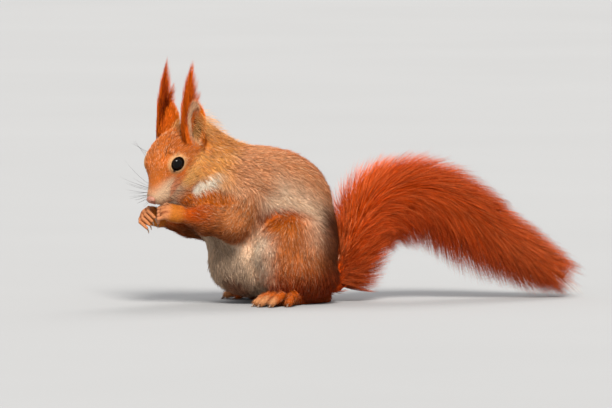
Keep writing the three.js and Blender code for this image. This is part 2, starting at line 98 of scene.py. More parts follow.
# The tail inside its hair: x and z.
TAIL_BONE = np.array([
    (-4, 12), (3, 22), (6, 34), (9.5, 44), (15.5, 55), (25, 63.5), (37.5, 68.5),
    (51.5, 68.5), (65.8, 62.6), (81.4, 53), (97, 42.5), (113, 30), (129, 19), (139, 12.5),
])
BONE_RADIUS = (7.0, 3.2, 1.6)  # of the tail inside its hair: root, middle, tip

# `aim` is right and up from the squirrel's origin to the picture's middle, `field` the width seen there.
CAMERA = {"azimuth": -15, "elevation": 3.5, "distance": 6000, "aim": (-20.4, 58.2), "field": 367.2}
LIGHTS = [  # name, azimuth and elevation in degrees, strength, width in degrees, tint
    ("key", -6, 46, 4.7, 22, (1.0, 0.97, 0.92)),
    ("rim", 140, 48, 1.4, 30, (1.0, 0.98, 0.95)),
]
SKY = {"colour": (0.94, 0.96, 1.0, 1), "strength": 0.7}
FLOOR_SIZE = 40.0  # metres from the middle to each side

TAIL_HAIRS, TAIL_PIECES = 40000, 4
TUFT_LOCKS, LOCK_HAIRS = 15, 84
LINING_HAIRS = 300
WISPS = 46
HAIR_PATCH = 0.003  # how wide a hair's patch is on the bake map
HAIR_LOWEST, SKIN_LOWEST, CLAW_LOWEST = 0.04, 0.02, 0.02  # heights that keep each clear of the floor
UNDER_SKIN = 0.35  # how deep the coat's hairs are rooted
LIMB_DEPTH = {"haunch": 3.2, "arm": 2.4, "hand": 0.2, "foot": 0.3}  # of the skin under the coat's surface
SEEDS = {"coat": 7, "tail": 11, "tuft": 20, "lining": 30, "whiskers": 41, "wisps": 43, "nape": 45}

# ---------------------------------------------------------------- small helpers


def vec(*xyz):
    return np.array(xyz, float)


def unit(v):
    return v / np.maximum(np.linalg.norm(v, axis=-1, keepdims=True), 1e-9)


def dot(a, b):
    return (a * b).sum(-1)


def away(p, place):
    """How far points lie from a place."""
    return np.linalg.norm(p - place, axis=1)


def smoothstep(x, low, high):
    """0 below low, 1 above high and a soft rise between."""
    t = np.clip((x - low) / (high - low), 0, 1)
    return t * t * (3 - 2 * t)


def linear(*srgb):
    """A colour given as 0 to 255 sRGB, as the linear numbers that a shader takes."""
    c = np.array(srgb, float) / 255
    return np.where(c <= 0.04045, c / 12.92, ((c + 0.055) / 1.055) ** 2.4)


def wander(p, scale, seed):
    """Smooth noise from about -1 to 1 that changes over `scale` millimetres."""
    rng = np.random.default_rng(seed)
    total, waves = np.zeros(len(p)), 7
    for _ in range(waves):
        wave = unit(rng.normal(size=3)) * rng.uniform(0.6, 1.5) * 2 * math.pi / scale
        total += np.sin(p @ wave + rng.uniform(0, 2 * math.pi))
    return total / 3


HEADING = vec(-math.cos(HEAD_TURN), -math.sin(HEAD_TURN), 0)
HEAD_FORWARD = HEADING * math.cos(HEAD_BOW) - vec(0, 0, math.sin(HEAD_BOW))
HEAD_LEFT = vec(math.sin(HEAD_TURN), -math.cos(HEAD_TURN), 0)
HEAD_UP = np.cross(HEAD_FORWARD, HEAD_LEFT)
HEAD_AXES = np.array([HEAD_FORWARD, HEAD_LEFT, HEAD_UP])


def on_head(forward, left, up):
    """A place on the head, from the nose's tip."""
    return NOSE + forward * HEAD_FORWARD + left * HEAD_LEFT + up * HEAD_UP


def eye_centre(side):
    return on_head(EYE["forward"], -SIDES[side] * EYE["out"], EYE["up"])


def gaze(side):
    """The way an eye looks: to its side, a little forward and up."""
    return unit(-SIDES[side] * 0.93 * HEAD_LEFT + 0.27 * HEAD_FORWARD + 0.2 * HEAD_UP)


eye_low, eye_high = (np.array(corner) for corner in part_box("eye_left"))
SHIFT = (eye_low + eye_high) * 500 - eye_centre("left")  # from the squirrel's frame to the row frame


def to_row(p):
    """Millimetres in the squirrel's frame to metres in the row frame."""
    return (p + SHIFT) / 1000


# ---------------------------------------------------------------- distance fields

# A field takes points, one a row, and returns their distance to a rounded form, negative inside it.


def ellipsoid(centre, radii, axes=None):
    """`axes` holds the ellipsoid's own three directions, one a row."""
    axes = np.eye(3) if axes is None else axes
    radii = np.array(radii, float)

    def distance(p):
        q = (p - centre) @ axes.T
        k0 = np.linalg.norm(q / radii, axis=1)
        k1 = np.linalg.norm(q / radii**2, axis=1)
        return k0 * (k0 - 1) / np.maximum(k1, 1e-6)

    return distance


def head_lump(place, radii):
    return ellipsoid(on_head(*place), radii, HEAD_AXES)


def bar(a, b, ra, rb):
    """A bar with round ends that tapers from radius ra at a to rb at b."""
    run = b - a

    def distance(p):
        q = p - a
        t = np.clip(q @ run / (run @ run), 0, 1)
        return np.linalg.norm(q - t[:, None] * run, axis=1) - (ra + (rb - ra) * t)

    return distance


def melt(a, b, soft):
    return np.minimum(a, b) - np.maximum(soft - np.abs(a - b), 0) ** 2 / (4 * soft)


def blend(soft, *fields):
    """Forms melted together over a seam about `soft` wide."""

    def distance(p):
        total = fields[0](p)
        for field in fields[1:]:
            total = melt(total, field(p), soft)
        return total

    return distance


def chain(points, radii, soft=0.6):
    """Bars from point to point."""
    pairs = zip(points[:-1], points[1:], radii[:-1], radii[1:])
    return blend(soft, *[bar(a, b, ra, rb) for a, b, ra, rb in pairs])


HEAD = blend(
    5,
    head_lump((-34, 0, 3.5), (18.5, 16.4, 16)),  # braincase
    head_lump((-27, 0, -5), (15, 16.2, 12)),  # cheeks and jaw
    bar(on_head(-21, 0, 1), on_head(-7.2, 0, -0.8), 12.2, 5.8),  # muzzle
    head_lump((-9.5, 4, -3), (6.5, 5, 4.8)),  # whisker pads
    head_lump((-9.5, -4, -3), (6.5, 5, 4.8)),
    head_lump((-12, 0, -7.4), (6, 5, 4.2)),  # chin
    head_lump((EYE["forward"], EYE["out"] - 4.4, EYE["up"]), (8, 6, 7)),  # brows and lids
    head_lump((EYE["forward"], 4.4 - EYE["out"], EYE["up"]), (8, 6, 7)),
)
TORSO = blend(
    14,
    bar(on_head(-38, 0, -2), vec(-62, 0, 68), 15.5, 25),  # neck
    bar(vec(-92, -2, 110), vec(-72, 0, 88), 7.5, 12),  # ruff behind the ears
    ellipsoid(vec(-94, -2, 63), (13, 11.5, 12.5)),  # throat
    ellipsoid(vec(-71, 0, 58), (20, 21, 22)),  # chest
    ellipsoid(vec(-60, -16, 68), (18, 12, 19)),  # shoulders
    ellipsoid(vec(-60, 16, 68), (18, 12, 19)),
    ellipsoid(vec(-44.5, 0, 57), (41, 32, 38)),  # back
    ellipsoid(vec(-31.5, 0, 34), (31, 33, 28)),  # rump
    ellipsoid(vec(-54, 0, 31), (27, 26, 25)),  # belly
    ellipsoid(vec(-59, 0, 20), (19.5, 23, 14.5)),  # its lower fold
)


def haunch(y):
    return blend(
        8,
        ellipsoid(vec(-33, y * 23, 30), (26.5, 16, 27)),  # thigh
        ellipsoid(vec(-43, y * 27, 43), (14, 10.5, 13.5)),  # knee
        bar(vec(-50, y * 27, 31), vec(-44, y * 28, 14), 10.5, 9.5),  # shank
        ellipsoid(vec(-25, y * 20, 17), (20, 15, 14.5)),  # its rear, over the heel
    )


def arm(side):
    shoulder, elbow, wrist, *_ = ARMS[side]
    middle = elbow + (wrist - elbow) * 0.45
    return chain([shoulder, elbow, middle, wrist], ARM_RADII, 3)


def hand_axes(side):
    """Wrist, knuckles and fingertips, and a hand's directions: ahead, out of its back, across the fingers."""
    _, _, wrist, knuckles, tips = ARMS[side]
    ahead = unit(knuckles - wrist)
    across = unit(np.cross(ahead, unit(tips - knuckles)))
    across = across * np.sign(across[2])
    return wrist, knuckles, tips, ahead, np.cross(across, ahead), across


def finger_points(side):
    """The joints of each finger from its root to its tip."""
    _, knuckles, tips, ahead, _, across = hand_axes(side)
    fingers = []
    for i in range(FINGER["count"]):
        place = ((FINGER["count"] - 1) / 2 - i) * FINGER["spacing"]
        knuckle = knuckles + across * place
        tip = tips + across * place * 0.95
        bend = knuckle + (tip - knuckle) * 0.45 + ahead * 2.4
        fingers.append([knuckles - ahead * 5 + across * place * 0.8, knuckle, bend, tip])
    return fingers


def hand(side):
    wrist, knuckles, _, ahead, back, across = hand_axes(side)
    middle = wrist + (knuckles - wrist) * 0.62
    palm = ellipsoid(middle, (7, 3.8, 6.4), np.array([ahead, back, across]))
    r = FINGER["radius"]
    fingers = [chain(points, [r * 1.05, r * 1.1, r, r * 0.8], 0.5) for points in finger_points(side)]
    return blend(0.7, blend(3, palm, bar(wrist, middle, 5.2, 4.2)), *fingers)


def foot_axes(y):
    """A way to find a place on a hind foot from its heel, and its directions ahead and outward."""
    ahead = vec(-math.cos(FOOT["out"]), y * math.sin(FOOT["out"]), 0)
    outward = vec(math.sin(FOOT["out"]), y * math.cos(FOOT["out"]), 0)
    heel = vec(FOOT["heel"][0], y * FOOT["heel"][1], 0)

    def at(forward, out, height):
        return heel + ahead * forward + outward * out + vec(0, 0, height)

    return at, ahead, outward


def toe_points(y):
    """The joints of each toe from its root to its tip."""
    at, ahead, outward = foot_axes(y)
    arch = [(0, 4.6), (0.36, 6.0), (0.7, 4.6), (1, 2.5)]  # share of the toe's length, height
    toes = []
    for start, out, splay, length in TOES:
        angle = math.radians(splay)
        run = ahead * math.cos(angle) + outward * math.sin(angle)
        toes.append([at(start, out, height) + run * length * share for share, height in arch])
    return toes


def foot(y):
    at, ahead, outward = foot_axes(y)
    axes = np.array([ahead, outward, vec(0, 0, 1)])
    sole = blend(
        4,
        ellipsoid(at(8, 0, 3.6), (15, 5, 4.4), axes),
        ellipsoid(at(31, 0, 4), (15, 6.4, 4.4), axes),
        bar(at(0, 0, 3.4), at(38, 0, 3.8), 3.6, 3.8),
    )
    r = TOE["radius"]
    toes = [chain(points, [r, r, r * 1.04, r * 0.84], 0.6) for points in toe_points(y)]
    return blend(1.2, sole, *toes)


def ear_axes(side):
    """A way to find a place on an ear from its base, and the way out of it and up it."""
    out = -SIDES[side] * HEAD_LEFT
    rise = vec(0, 0, math.cos(EAR["lean"])) + out * math.sin(EAR["lean"])
    base = on_head(EAR["forward"], -SIDES[side] * EAR["out"], EAR["up"])

    def at(height, forward=0.0, outward=0.0):
        return base + rise * height + HEADING * forward + out * outward

    return at, out, rise


def ear(side):
    """A cup that opens outward, with a narrow canal at its foot."""
    at, out, rise = ear_axes(side)
    axes = np.array([HEADING, out, rise])
    shell = ellipsoid(at(9.5, -0.4, 0), (7.8, 3.4, 15.5), axes)
    bowl = ellipsoid(at(11.5, -0.8, 3.2), (5.6, 4.8, 11.5), axes)
    canal = ellipsoid(at(5.5, -1.4, 0.4), (1.5, 3.2, 8), axes)
    return lambda p: np.maximum(shell(p), -np.minimum(bowl(p), canal(p)))


def ear_opening(p, side):
    """1 in the depth of the ear's cup, which gets painted shade, 0 outside it."""
    at, out, rise = ear_axes(side)
    cup = ellipsoid(at(9.5, -0.8, 2.6), (4.6, 4.6, 10.5), np.array([HEADING, out, rise]))
    q = p - at(0)
    deep = 1 - smoothstep(q @ out, -0.6, 0.9)
    return (1 - smoothstep(cup(p), 0.4, 1.1)) * deep * (1 - smoothstep(q @ rise, 13, 18))


def eye_reach(p, side):
    """How far from an eye's gaze a point lies, 1 at the edge of the lids' opening, and how far along it."""
    look = gaze(side)
    along = unit(HEAD_FORWARD - dot(HEAD_FORWARD, look) * look)
    q = p - eye_centre(side)
    long_radius, short_radius = EYE["opening"]
    reach = np.hypot(q @ along / long_radius, q @ np.cross(look, along) / short_radius)
    return reach, q @ look


def lids(side):
    """The lids' thin cover with a rounded rim, and the opening that the eye shows through."""
    short_radius = EYE["opening"][1]
    rim_height, rim_thickness, cover = 3.55, 0.55, 0.45

    def cover_form(p):
        reach, height = eye_reach(p, side)
        shell = away(p, eye_centre(side)) - EYE["radius"] - cover
        rim = np.hypot((reach - 1.06) * short_radius, height - rim_height) - rim_thickness
        return melt(shell, rim, 0.4)

    def opening(p):
        reach, height = eye_reach(p, side)
        return np.maximum((reach - 1) * short_radius, -height)

    return cover_form, opening


def smooth_path(points, steps):
    """A smooth curve through points, as `steps` + 1 places that lie evenly along it."""
    padded = np.vstack([2 * points[0] - points[1], points, 2 * points[-1] - points[-2]])
    pieces = []
    for a, b, c, d in zip(padded[:-3], padded[1:-2], padded[2:-1], padded[3:]):
        t = np.linspace(0, 1, 12, endpoint=False)[:, None]
        square, cube = 2 * a - 5 * b + 4 * c - d, 3 * b - a - 3 * c + d
        pieces.append(0.5 * (2 * b + (c - a) * t + square * t**2 + cube * t**3))
    path = np.vstack([*pieces, points[-1:]])
    run = np.concatenate([[0], np.cumsum(np.linalg.norm(np.diff(path[:, :2], axis=0), axis=1))])
    even = np.linspace(0, run[-1], steps + 1)
    return np.stack([np.interp(even, run, path[:, k]) for k in range(path.shape[1])], axis=1)


TAIL_STEPS = 200
BONE_PATH = smooth_path(TAIL_BONE, TAIL_STEPS)
BRUSH_PATH = smooth_path(BRUSH, TAIL_STEPS)


def bone_radius(share):
    return np.interp(share, (0, 0.25, 1), BONE_RADIUS)


def tail():
    stations = np.arange(0, TAIL_STEPS + 1, 10)
    points = [vec(BONE_PATH[i, 0], 0, BONE_PATH[i, 1]) for i in stations]
    return chain(points, list(bone_radius(stations / TAIL_STEPS)), 0.8)


def coat_depth(p):
    """How far the skin lies under the coat's outer surface on head and trunk."""
    depth = 0.8 + 2.9 * smoothstep(away(p, NOSE), 12, 48)
    for side in SIDES:
        near_eye = np.exp(-((away(p, eye_centre(side)) / 8.5) ** 2))
        depth = depth * (1 - 0.75 * near_eye)
    return depth


def sunk(form, depth):
    """A form that lies `depth` under the coat's outer surface."""
    return lambda p: form(p) + depth


def flesh_parts():
    """Each part of the flesh by name, as a field of its own."""
    body = blend(9, HEAD, TORSO)
    parts = {"body": lambda p: body(p) + coat_depth(p), "tail": tail()}
    for side, y in SIDES.items():
        limbs = {"haunch": haunch(y), "arm": arm(side), "hand": hand(side), "foot": foot(y)}
        parts.update({f"{kind}_{side}": sunk(form, LIMB_DEPTH[kind]) for kind, form in limbs.items()})
        parts[f"ear_{side}"] = ear(side)
    return parts


PARTS = flesh_parts()
SEAMS = {"tail": 8, "haunch": 4, "arm": 7, "hand": 1.6, "foot": 2, "ear": 3}  # how softly each meets the rest
LIDS = {side: lids(side) for side in SIDES}
MOUTH = [(-2.6, 0, -4.2), (-6.5, 3.6, -6.0), (-11.5, 6.6, -7.4)]  # along its left side, on the head
MOUTH_RADII = [0.7, 0.6, 0.3]
MOUTH_FORMS = [chain([on_head(f, s * left, up) for f, left, up in MOUTH], MOUTH_RADII, 0.4) for s in (1, -1)]


def skin_field(p):
    """The whole animal's skin."""
    total = PARTS["body"](p)
    for name, field in PARTS.items():
        if name != "body":
            total = melt(total, field(p), SEAMS[name.split("_")[0]])
    for side in SIDES:
        cover_form, opening = LIDS[side]
        total = melt(total, cover_form(p), 1.5)
        total = np.maximum(total, -opening(p))
    for form in MOUTH_FORMS:
        total = np.maximum(total, -form(p))
    return np.maximum(total, 0.05 - p[:, 2])


def slopes(field, p, step=0.15):
    """The field's gradient at points, which is also the way out of the skin."""
    out = np.empty_like(p)
    for k in range(3):
        shift = np.zeros(3)
        shift[k] = step
        out[:, k] = (field(p + shift) - field(p - shift)) / (2 * step)
    return out


# ---------------------------------------------------------------- skin


def stops(*stretches):
    """Grid lines along one axis, from (start, end, spacing) stretches that follow on from each other."""
    return np.concatenate([np.arange(*stretch) for stretch in stretches])


def dense_values(field, xs, ys, zs, block=4, reach=9.0):
    """The field at every grid point near its surface, and just its sign elsewhere."""
    coarse = [a[::block] for a in (xs, ys, zs)]
    centres = np.stack(np.meshgrid(*coarse, indexing="ij"), -1).reshape(-1, 3)
    rough = field(centres).reshape([len(a) for a in coarse])
    for axis in range(3):
        rough = np.repeat(rough, block, axis=axis)
    rough = rough[: len(xs), : len(ys), : len(zs)]
    values = np.where(rough > 0, reach, -reach)
    near = np.abs(rough) < reach
    i, j, k = np.nonzero(near)
    values[near] = field(np.stack([xs[i], ys[j], zs[k]], 1))
    return values


def surface_net(values, xs, ys, zs):
    """A closed skin of quads round the grid's negative part."""
    inside = values < 0
    corners = [(i, j, k) for i in (0, 1) for j in (0, 1) for k in (0, 1)]
    size = [n - 1 for n in values.shape]
    shifted = (inside[i : i + size[0], j : j + size[1], k : k + size[2]] for i, j, k in corners)
    count = sum(corner.astype(np.int8) for corner in shifted)
    active = (count > 0) & (count < len(corners))
    index = np.full(size, -1, np.int64)
    cell = np.argwhere(active)
    index[active] = np.arange(len(cell))
    total = np.zeros((len(cell), 3))
    hits = np.zeros(len(cell))
    for a in corners:
        for axis in range(3):
            if a[axis]:
                continue
            ia = cell + a
            ib = ia.copy()
            ib[:, axis] += 1
            va, vb = values[tuple(ia.T)], values[tuple(ib.T)]
            crossing = (va < 0) != (vb < 0)
            t = np.where(crossing, va / np.where(crossing, va - vb, 1), 0)[:, None]
            pa = np.stack([xs[ia[:, 0]], ys[ia[:, 1]], zs[ia[:, 2]]], 1)
            pb = np.stack([xs[ib[:, 0]], ys[ib[:, 1]], zs[ib[:, 2]]], 1)
            total += np.where(crossing[:, None], pa + t * (pb - pa), 0)
            hits += crossing
    points = total / hits[:, None]
    quads = []
    for axis in range(3):
        u, v = (axis + 1) % 3, (axis + 2) % 3
        here = [slice(None)] * 3
        there = [slice(None)] * 3
        here[axis], there[axis] = slice(0, -1), slice(1, None)
        starts = inside[tuple(here)]
        change = starts != inside[tuple(there)]
        edge = np.argwhere(change)
        edge = edge[(edge[:, u] > 0) & (edge[:, v] > 0) & (edge[:, u] < size[u]) & (edge[:, v] < size[v])]
        ring = []
        for du, dv in ((-1, -1), (0, -1), (0, 0), (-1, 0)):
            c = edge.copy()
            c[:, u] += du
            c[:, v] += dv
            ring.append(index[tuple(c.T)])
        ring = np.stack(ring, 1)
        outward = starts[tuple(edge.T)]
        quads.append(np.where(outward[:, None], ring, ring[:, ::-1]))
    return points, np.vstack(quads)


def make_skin():
    """Points and quads of the skin, finest on the head, the hands and the toes."""
    xs = stops((-128, -121, 0.56), (-121, -100, 0.43), (-100, -66, 0.7), (-66, -20, 1.32), (-20, 146, 1.75))
    ys = stops((-47, -25, 0.92), (-25, 8, 0.5), (8, 24, 0.8), (24, 48, 0.95))
    zs = stops((-0.9, 9.2, 0.6), (9.2, 44, 1.45), (44, 78, 0.86), (78, 94, 0.43), (94, 126, 0.86))
    points, quads = surface_net(dense_values(skin_field, xs, ys, zs), xs, ys, zs)
    for _ in range(2):
        slope = slopes(skin_field, points)
        step = np.clip(skin_field(points) / np.maximum(dot(slope, slope), 0.3), -0.3, 0.3)
        points = points - slope * step[:, None]
    points[:, 2] = np.maximum(points[:, 2], SKIN_LOWEST)
    return points, quads


# ---------------------------------------------------------------- markings

SRGB = {
    # The belly's cream is toned down as painted shade, for its shaded underside.
    "back": (228, 156, 104), "ridge": (206, 114, 58), "flank": (255, 220, 186), "belly": (206, 178, 152),
    "throat": (250, 240, 220), "rust": (150, 76, 38), "golden": (216, 110, 12), "shoulder": (216, 122, 52),
    "upper_arm": (192, 114, 60), "head": (206, 110, 40), "nape": (214, 132, 56), "neck": (246, 172, 92),
    "cheek": (240, 184, 108), "ring": (232, 182, 128), "muzzle": (212, 176, 142), "forearm": (200, 82, 2),
    # The pale thigh colour is partly the pale fur of the thigh's front and partly painted light, brightened
    # where that front catches the light.
    "elbow": (156, 78, 32), "thigh": (212, 118, 56), "thigh_low": (150, 46, 2), "pale_and_lit_thigh": (255, 236, 208),
    "hand": (206, 120, 40), "skin_pink": (222, 148, 104), "toe": (198, 92, 14), "tuft": (140, 44, 0),
    "ear_back": (208, 94, 8), "ear_inside": (190, 146, 112), "dark": (38, 22, 15), "lid": (24, 15, 12),
    "tail_bright": (220, 92, 2), "tail_mid": (196, 68, 1), "tail_low": (206, 68, 4),
    "tail_tip": (208, 120, 72), "wisp": (226, 196, 168), "pale": (246, 208, 168),
}
COLOURS = {name: linear(*srgb) for name, srgb in SRGB.items()}


def paint(colour, share, name):
    """`colour` with a share of the named colour laid over it."""
    share = np.asarray(share)[:, None]
    return colour * (1 - share) + COLOURS[name] * share


def painted(count, ground, *layers):
    """The named ground colour, `count` times, with layers laid over it, each a share and a colour's name."""
    colour = np.tile(COLOURS[ground], (count, 1))
    for share, name in layers:
        colour = paint(colour, share, name)
    return colour


def spot(p, centre, radii, edge=0.45):
    """1 inside an ellipsoidal patch of coat, fading to 0 over its edge."""
    k = np.linalg.norm((p - centre) / np.array(radii, float), axis=1)
    return 1 - smoothstep(k, 1 - edge, 1 + edge)


def both(function):
    """A patch on both sides: function is given -1, then 1."""
    return np.maximum(function(-1), function(1))


def spots(p, x, y, z, radii, edge=0.45):
    """A spot at the same place on both sides."""
    return both(lambda s: spot(p, vec(x, s * y, z), radii, edge))


COLLAR = [(-93, 16, 69), (-86, 19, 74), (-80, 22, 80), (-75, 23, 88)]  # middle line of the pale band
COLLAR_RADII = [2.3, 2.9, 2.4, 1.0]


def trunk_marking(p):
    """Red ridge, grizzled back, sandy flank, cream belly, a pale collar under each cheek, and painted
    shadows.
    """
    x, aside, z = p[:, 0], np.abs(p[:, 1]), p[:, 2]
    high = dot(p - vec(-50, 0, 62), vec(0.42, 0, 0.9)) - aside * 0.35
    front = dot(p - vec(-60, 0, 40), vec(-0.9, 0, -0.44)) - aside * 0.52
    rump = smoothstep(x, -22, 4) * smoothstep(34 - aside, 0, 20)
    # rear: the low rear of the rump by the tail, where shadow is painted
    rear = smoothstep(x, -26, -12) * smoothstep(-z, -68, -50)
    collar = both(lambda s: -chain([vec(a, s * b, c) for a, b, c in COLLAR], COLLAR_RADII)(p))
    return painted(
        len(p),
        "flank",
        (smoothstep(high, -4, 18), "back"),
        (smoothstep(high, 20, 34), "ridge"),
        (rump * 0.8, "back"),
        # Painted shadow: rust and dark laid on the rump's low rear, where the shade between haunch and tail
        # falls.
        (rear * 0.95, "rust"),
        (rear * 0.6, "dark"),
        (spots(p, -76, 24, 53, (20, 14, 17), 0.4), "shoulder"),
        (smoothstep(front, -6, 5), "belly"),
        (spots(p, -71, 14, 9, (12, 16, 8)) * 0.75, "rust"),
        (smoothstep(-x, 64, 74) * smoothstep(z, 66, 78), "neck"),
        (spot(p, vec(-74, 0, 100), (15, 14, 14)) * 0.8, "nape"),
        (spots(p, -62, 25, 79, (14, 14, 14), 0.5) * 0.9, "back"),
        (spots(p, -86, 20, 63, (14, 12, 8), 0.4), "golden"),
        (spots(p, -97, 12, 66, (10, 8, 8), 0.4), "golden"),
        (smoothstep(collar, -2.0, 1.0), "throat"),
        (spots(p, -43, 31, 51, (15, 12, 6), 0.4), "golden"),
        # Painted shadow: a dark red line along the fold above each knee.
        (spots(p, -47, 30, 54.5, (16, 12, 4.5), 0.5) * 0.6, "thigh_low"),
    )


def head_marking(p):
    """Orange face with pale cheeks, muzzle and eye rings, dark lids, a darker red jaw, and painted shade
    under the jaw and in the mouth.
    """
    forward, aside, up = ((p - NOSE) @ HEAD_AXES.T).T
    aside = np.abs(aside)
    cheek = smoothstep(aside, 8, 13) * smoothstep(-up, -2.5, 4) * smoothstep(-forward, 13, 21)
    # Under the jaw: darker red hair with painted shade laid over it, where the head shades the throat.
    jaw = smoothstep(-up, 8, 12) * smoothstep(-forward, 12, 18)
    muzzle = smoothstep(forward, -21, -15) * smoothstep(-up, -7, -1)
    chin = smoothstep(-up, 7, 9.5) * smoothstep(-aside, -7, -4) * smoothstep(forward, -22, -14)
    stripe = np.abs(up + 0.5 + (forward + 19) * 0.35) + np.maximum(np.abs(forward + 18) - 5, 0) * 0.5
    layers = [
        (cheek * 0.9, "cheek"),
        (smoothstep(-forward, 38, 50) * smoothstep(-up, -16, -6) * 0.8, "neck"),
        (jaw * 0.9, "rust"),
        (jaw * 0.45, "dark"),
        (muzzle * 0.95, "muzzle"),
        (chin * 0.9, "throat"),
        (smoothstep(-stripe, -3.4, -1.0) * smoothstep(aside, 5, 8) * 0.55, "forearm"),
    ]
    for s in (1, -1):
        layers.append((1 - smoothstep(away(p, on_head(-15.5, s * 9.3, -3.4)), 0.5, 1.1), "dark"))
    for side in SIDES:
        reach, height = eye_reach(p, side)
        corner = eye_centre(side) + gaze(side) * 3.2 + HEAD_FORWARD * 4.9 - HEAD_UP * 1.1
        layers += [
            ((1 - smoothstep(reach, 1.15, 1.75)) * (height > 0) * 0.8, "ring"),
            (1 - smoothstep(away(p, corner), 0.6, 1.4), "lid"),
            ((1 - smoothstep(reach, 1.02, 1.14)) * (height > 0), "lid"),
        ]
    # Painted shade in the slit of the mouth.
    layers += [(1 - smoothstep(form(p), 0.1, 0.9), "dark") for form in MOUTH_FORMS]
    return painted(len(p), "head", *layers)


def arm_marking(p, side):
    _, elbow, wrist, *_ = ARMS[side]
    run = wrist - elbow
    along = (p - elbow) @ run / (run @ run)
    above = p[:, 2] - (elbow + np.clip(along, 0, 1)[:, None] * run)[:, 2]
    return painted(
        len(p),
        "upper_arm",
        # Painted shade: the arm's underside, below the line from elbow to wrist, is darkened with the elbow's
        # brown, most of all under the forearm.
        (smoothstep(-above, -5, 6) * 0.7, "elbow"),
        (smoothstep(along, 0.1, 0.7) * smoothstep(above, -6, 1), "forearm"),
        (smoothstep(along, 0.3, 0.8) * smoothstep(-above, 2, 7) * 0.9, "elbow"),
    )


def haunch_marking(p):
    x, z = p[:, 0], p[:, 2]
    rear = smoothstep(x, -28, -13) * smoothstep(-z, -64, -46)
    return painted(
        len(p),
        "thigh",
        # Pale fur of the thigh's front, brightened as painted light where that front catches the light.
        (smoothstep(-x + 1.6 * wander(p, 5, 35), 44, 63) * smoothstep(-z, -56, -44), "pale_and_lit_thigh"),
        (spots(p, -45, 29, 52, (13, 13, 7), 0.6), "golden"),
        # Painted shadow: the fold's dark red over the knee's top.
        (spots(p, -44, 30, 54, (13, 12, 5), 0.5) * 0.55, "thigh_low"),
        (smoothstep(x, -38, -14) * smoothstep(z, 24, 46) * 0.8, "flank"),
        # Painted shadow: rust and dark on the haunch's low rear, where the shade between haunch and tail
        # falls.
        (rear * 0.95, "rust"),
        (rear * 0.6, "dark"),
        # The thigh's low part is its darker red fur, deepened as painted shade under the thigh.
        (smoothstep(-z, -30, -11) * smoothstep(x, -56, -46) * 0.95, "thigh_low"),
    )


def gap_shade(p, digits, radius):
    """Painted shade between digits: 1 in the gaps between digits, each given as its joints, and 0 on their
    rounded tops.
    """
    gaps = np.stack([blend(0.1, *[bar(a, b, 0, 0) for a, b in zip(q[:-1], q[1:])])(p) for q in digits], 1)
    gaps.sort(axis=1)
    between = 1 - smoothstep(gaps[:, 1] - gaps[:, 0], radius * 0.15, radius * 0.75)
    return between * (1 - smoothstep(gaps[:, 0], radius * 2.2, radius * 3))


def hand_marking(p, side):
    """Orange back of the hand and pink fingers, with painted shade between them."""
    _, knuckles, _, ahead, back, _ = hand_axes(side)
    out = (p - knuckles) @ ahead
    return painted(
        len(p),
        "hand",
        (smoothstep(out, -4, 1) * 0.7, "skin_pink"),
        (smoothstep(-((p - knuckles) @ back), 0, 4) * 0.8, "skin_pink"),
        # Painted shade in the gaps between the fingers.
        (gap_shade(p, finger_points(side), FINGER["radius"]) * smoothstep(out, -5, -2) * 0.9, "rust"),
    )


def foot_marking(p, side):
    """Orange toes, paler at their ends, with painted shade between them, under a brown instep."""
    y = SIDES[side]
    at, ahead, _ = foot_axes(y)
    out = (p - at(0, 0, 0)) @ ahead
    return painted(
        len(p),
        "toe",
        (smoothstep(-out, -34, -22) * 0.8, "thigh_low"),
        (smoothstep(out, 47, 54) * 0.5, "ring"),
        # Painted shade in the gaps between the toes.
        (gap_shade(p, toe_points(y), TOE["radius"]) * 0.9 * smoothstep(out, 34, 40), "rust"),
    )


def ear_marking(p, side):
    """Orange back, red front edge, golden rear edge and a pale inside with painted shade in its depth."""
    at, out, rise = ear_axes(side)
    q = p - at(0)
    height, forward, outward = q @ rise, q @ HEADING, q @ out
    cup = ellipsoid(at(12.5, -0.6, 3.2), (6.4, 4.8, 13), np.array([HEADING, out, rise]))
    inside = (1 - smoothstep(cup(p), 0.2, 0.9)) * smoothstep(outward, -3, 1) * smoothstep(forward, -4.5, -2.5)
    return painted(
        len(p),
        "ear_back",
        (smoothstep(forward, 3, 6) * smoothstep(height, 6, 16), "tuft"),
        (smoothstep(-forward, 2, 5) * 0.8, "golden"),
        (inside, "ear_inside"),
        # Painted shade in the ear's depth.
        (ear_opening(p, side), "dark"),
    )


PAINTERS = {
    "tail": lambda p, side: painted(len(p), "tail_mid"),
    "haunch": lambda p, side: haunch_marking(p),
    "arm": arm_marking,
    "hand": hand_marking,
    "foot": foot_marking,
    "ear": ear_marking,
}


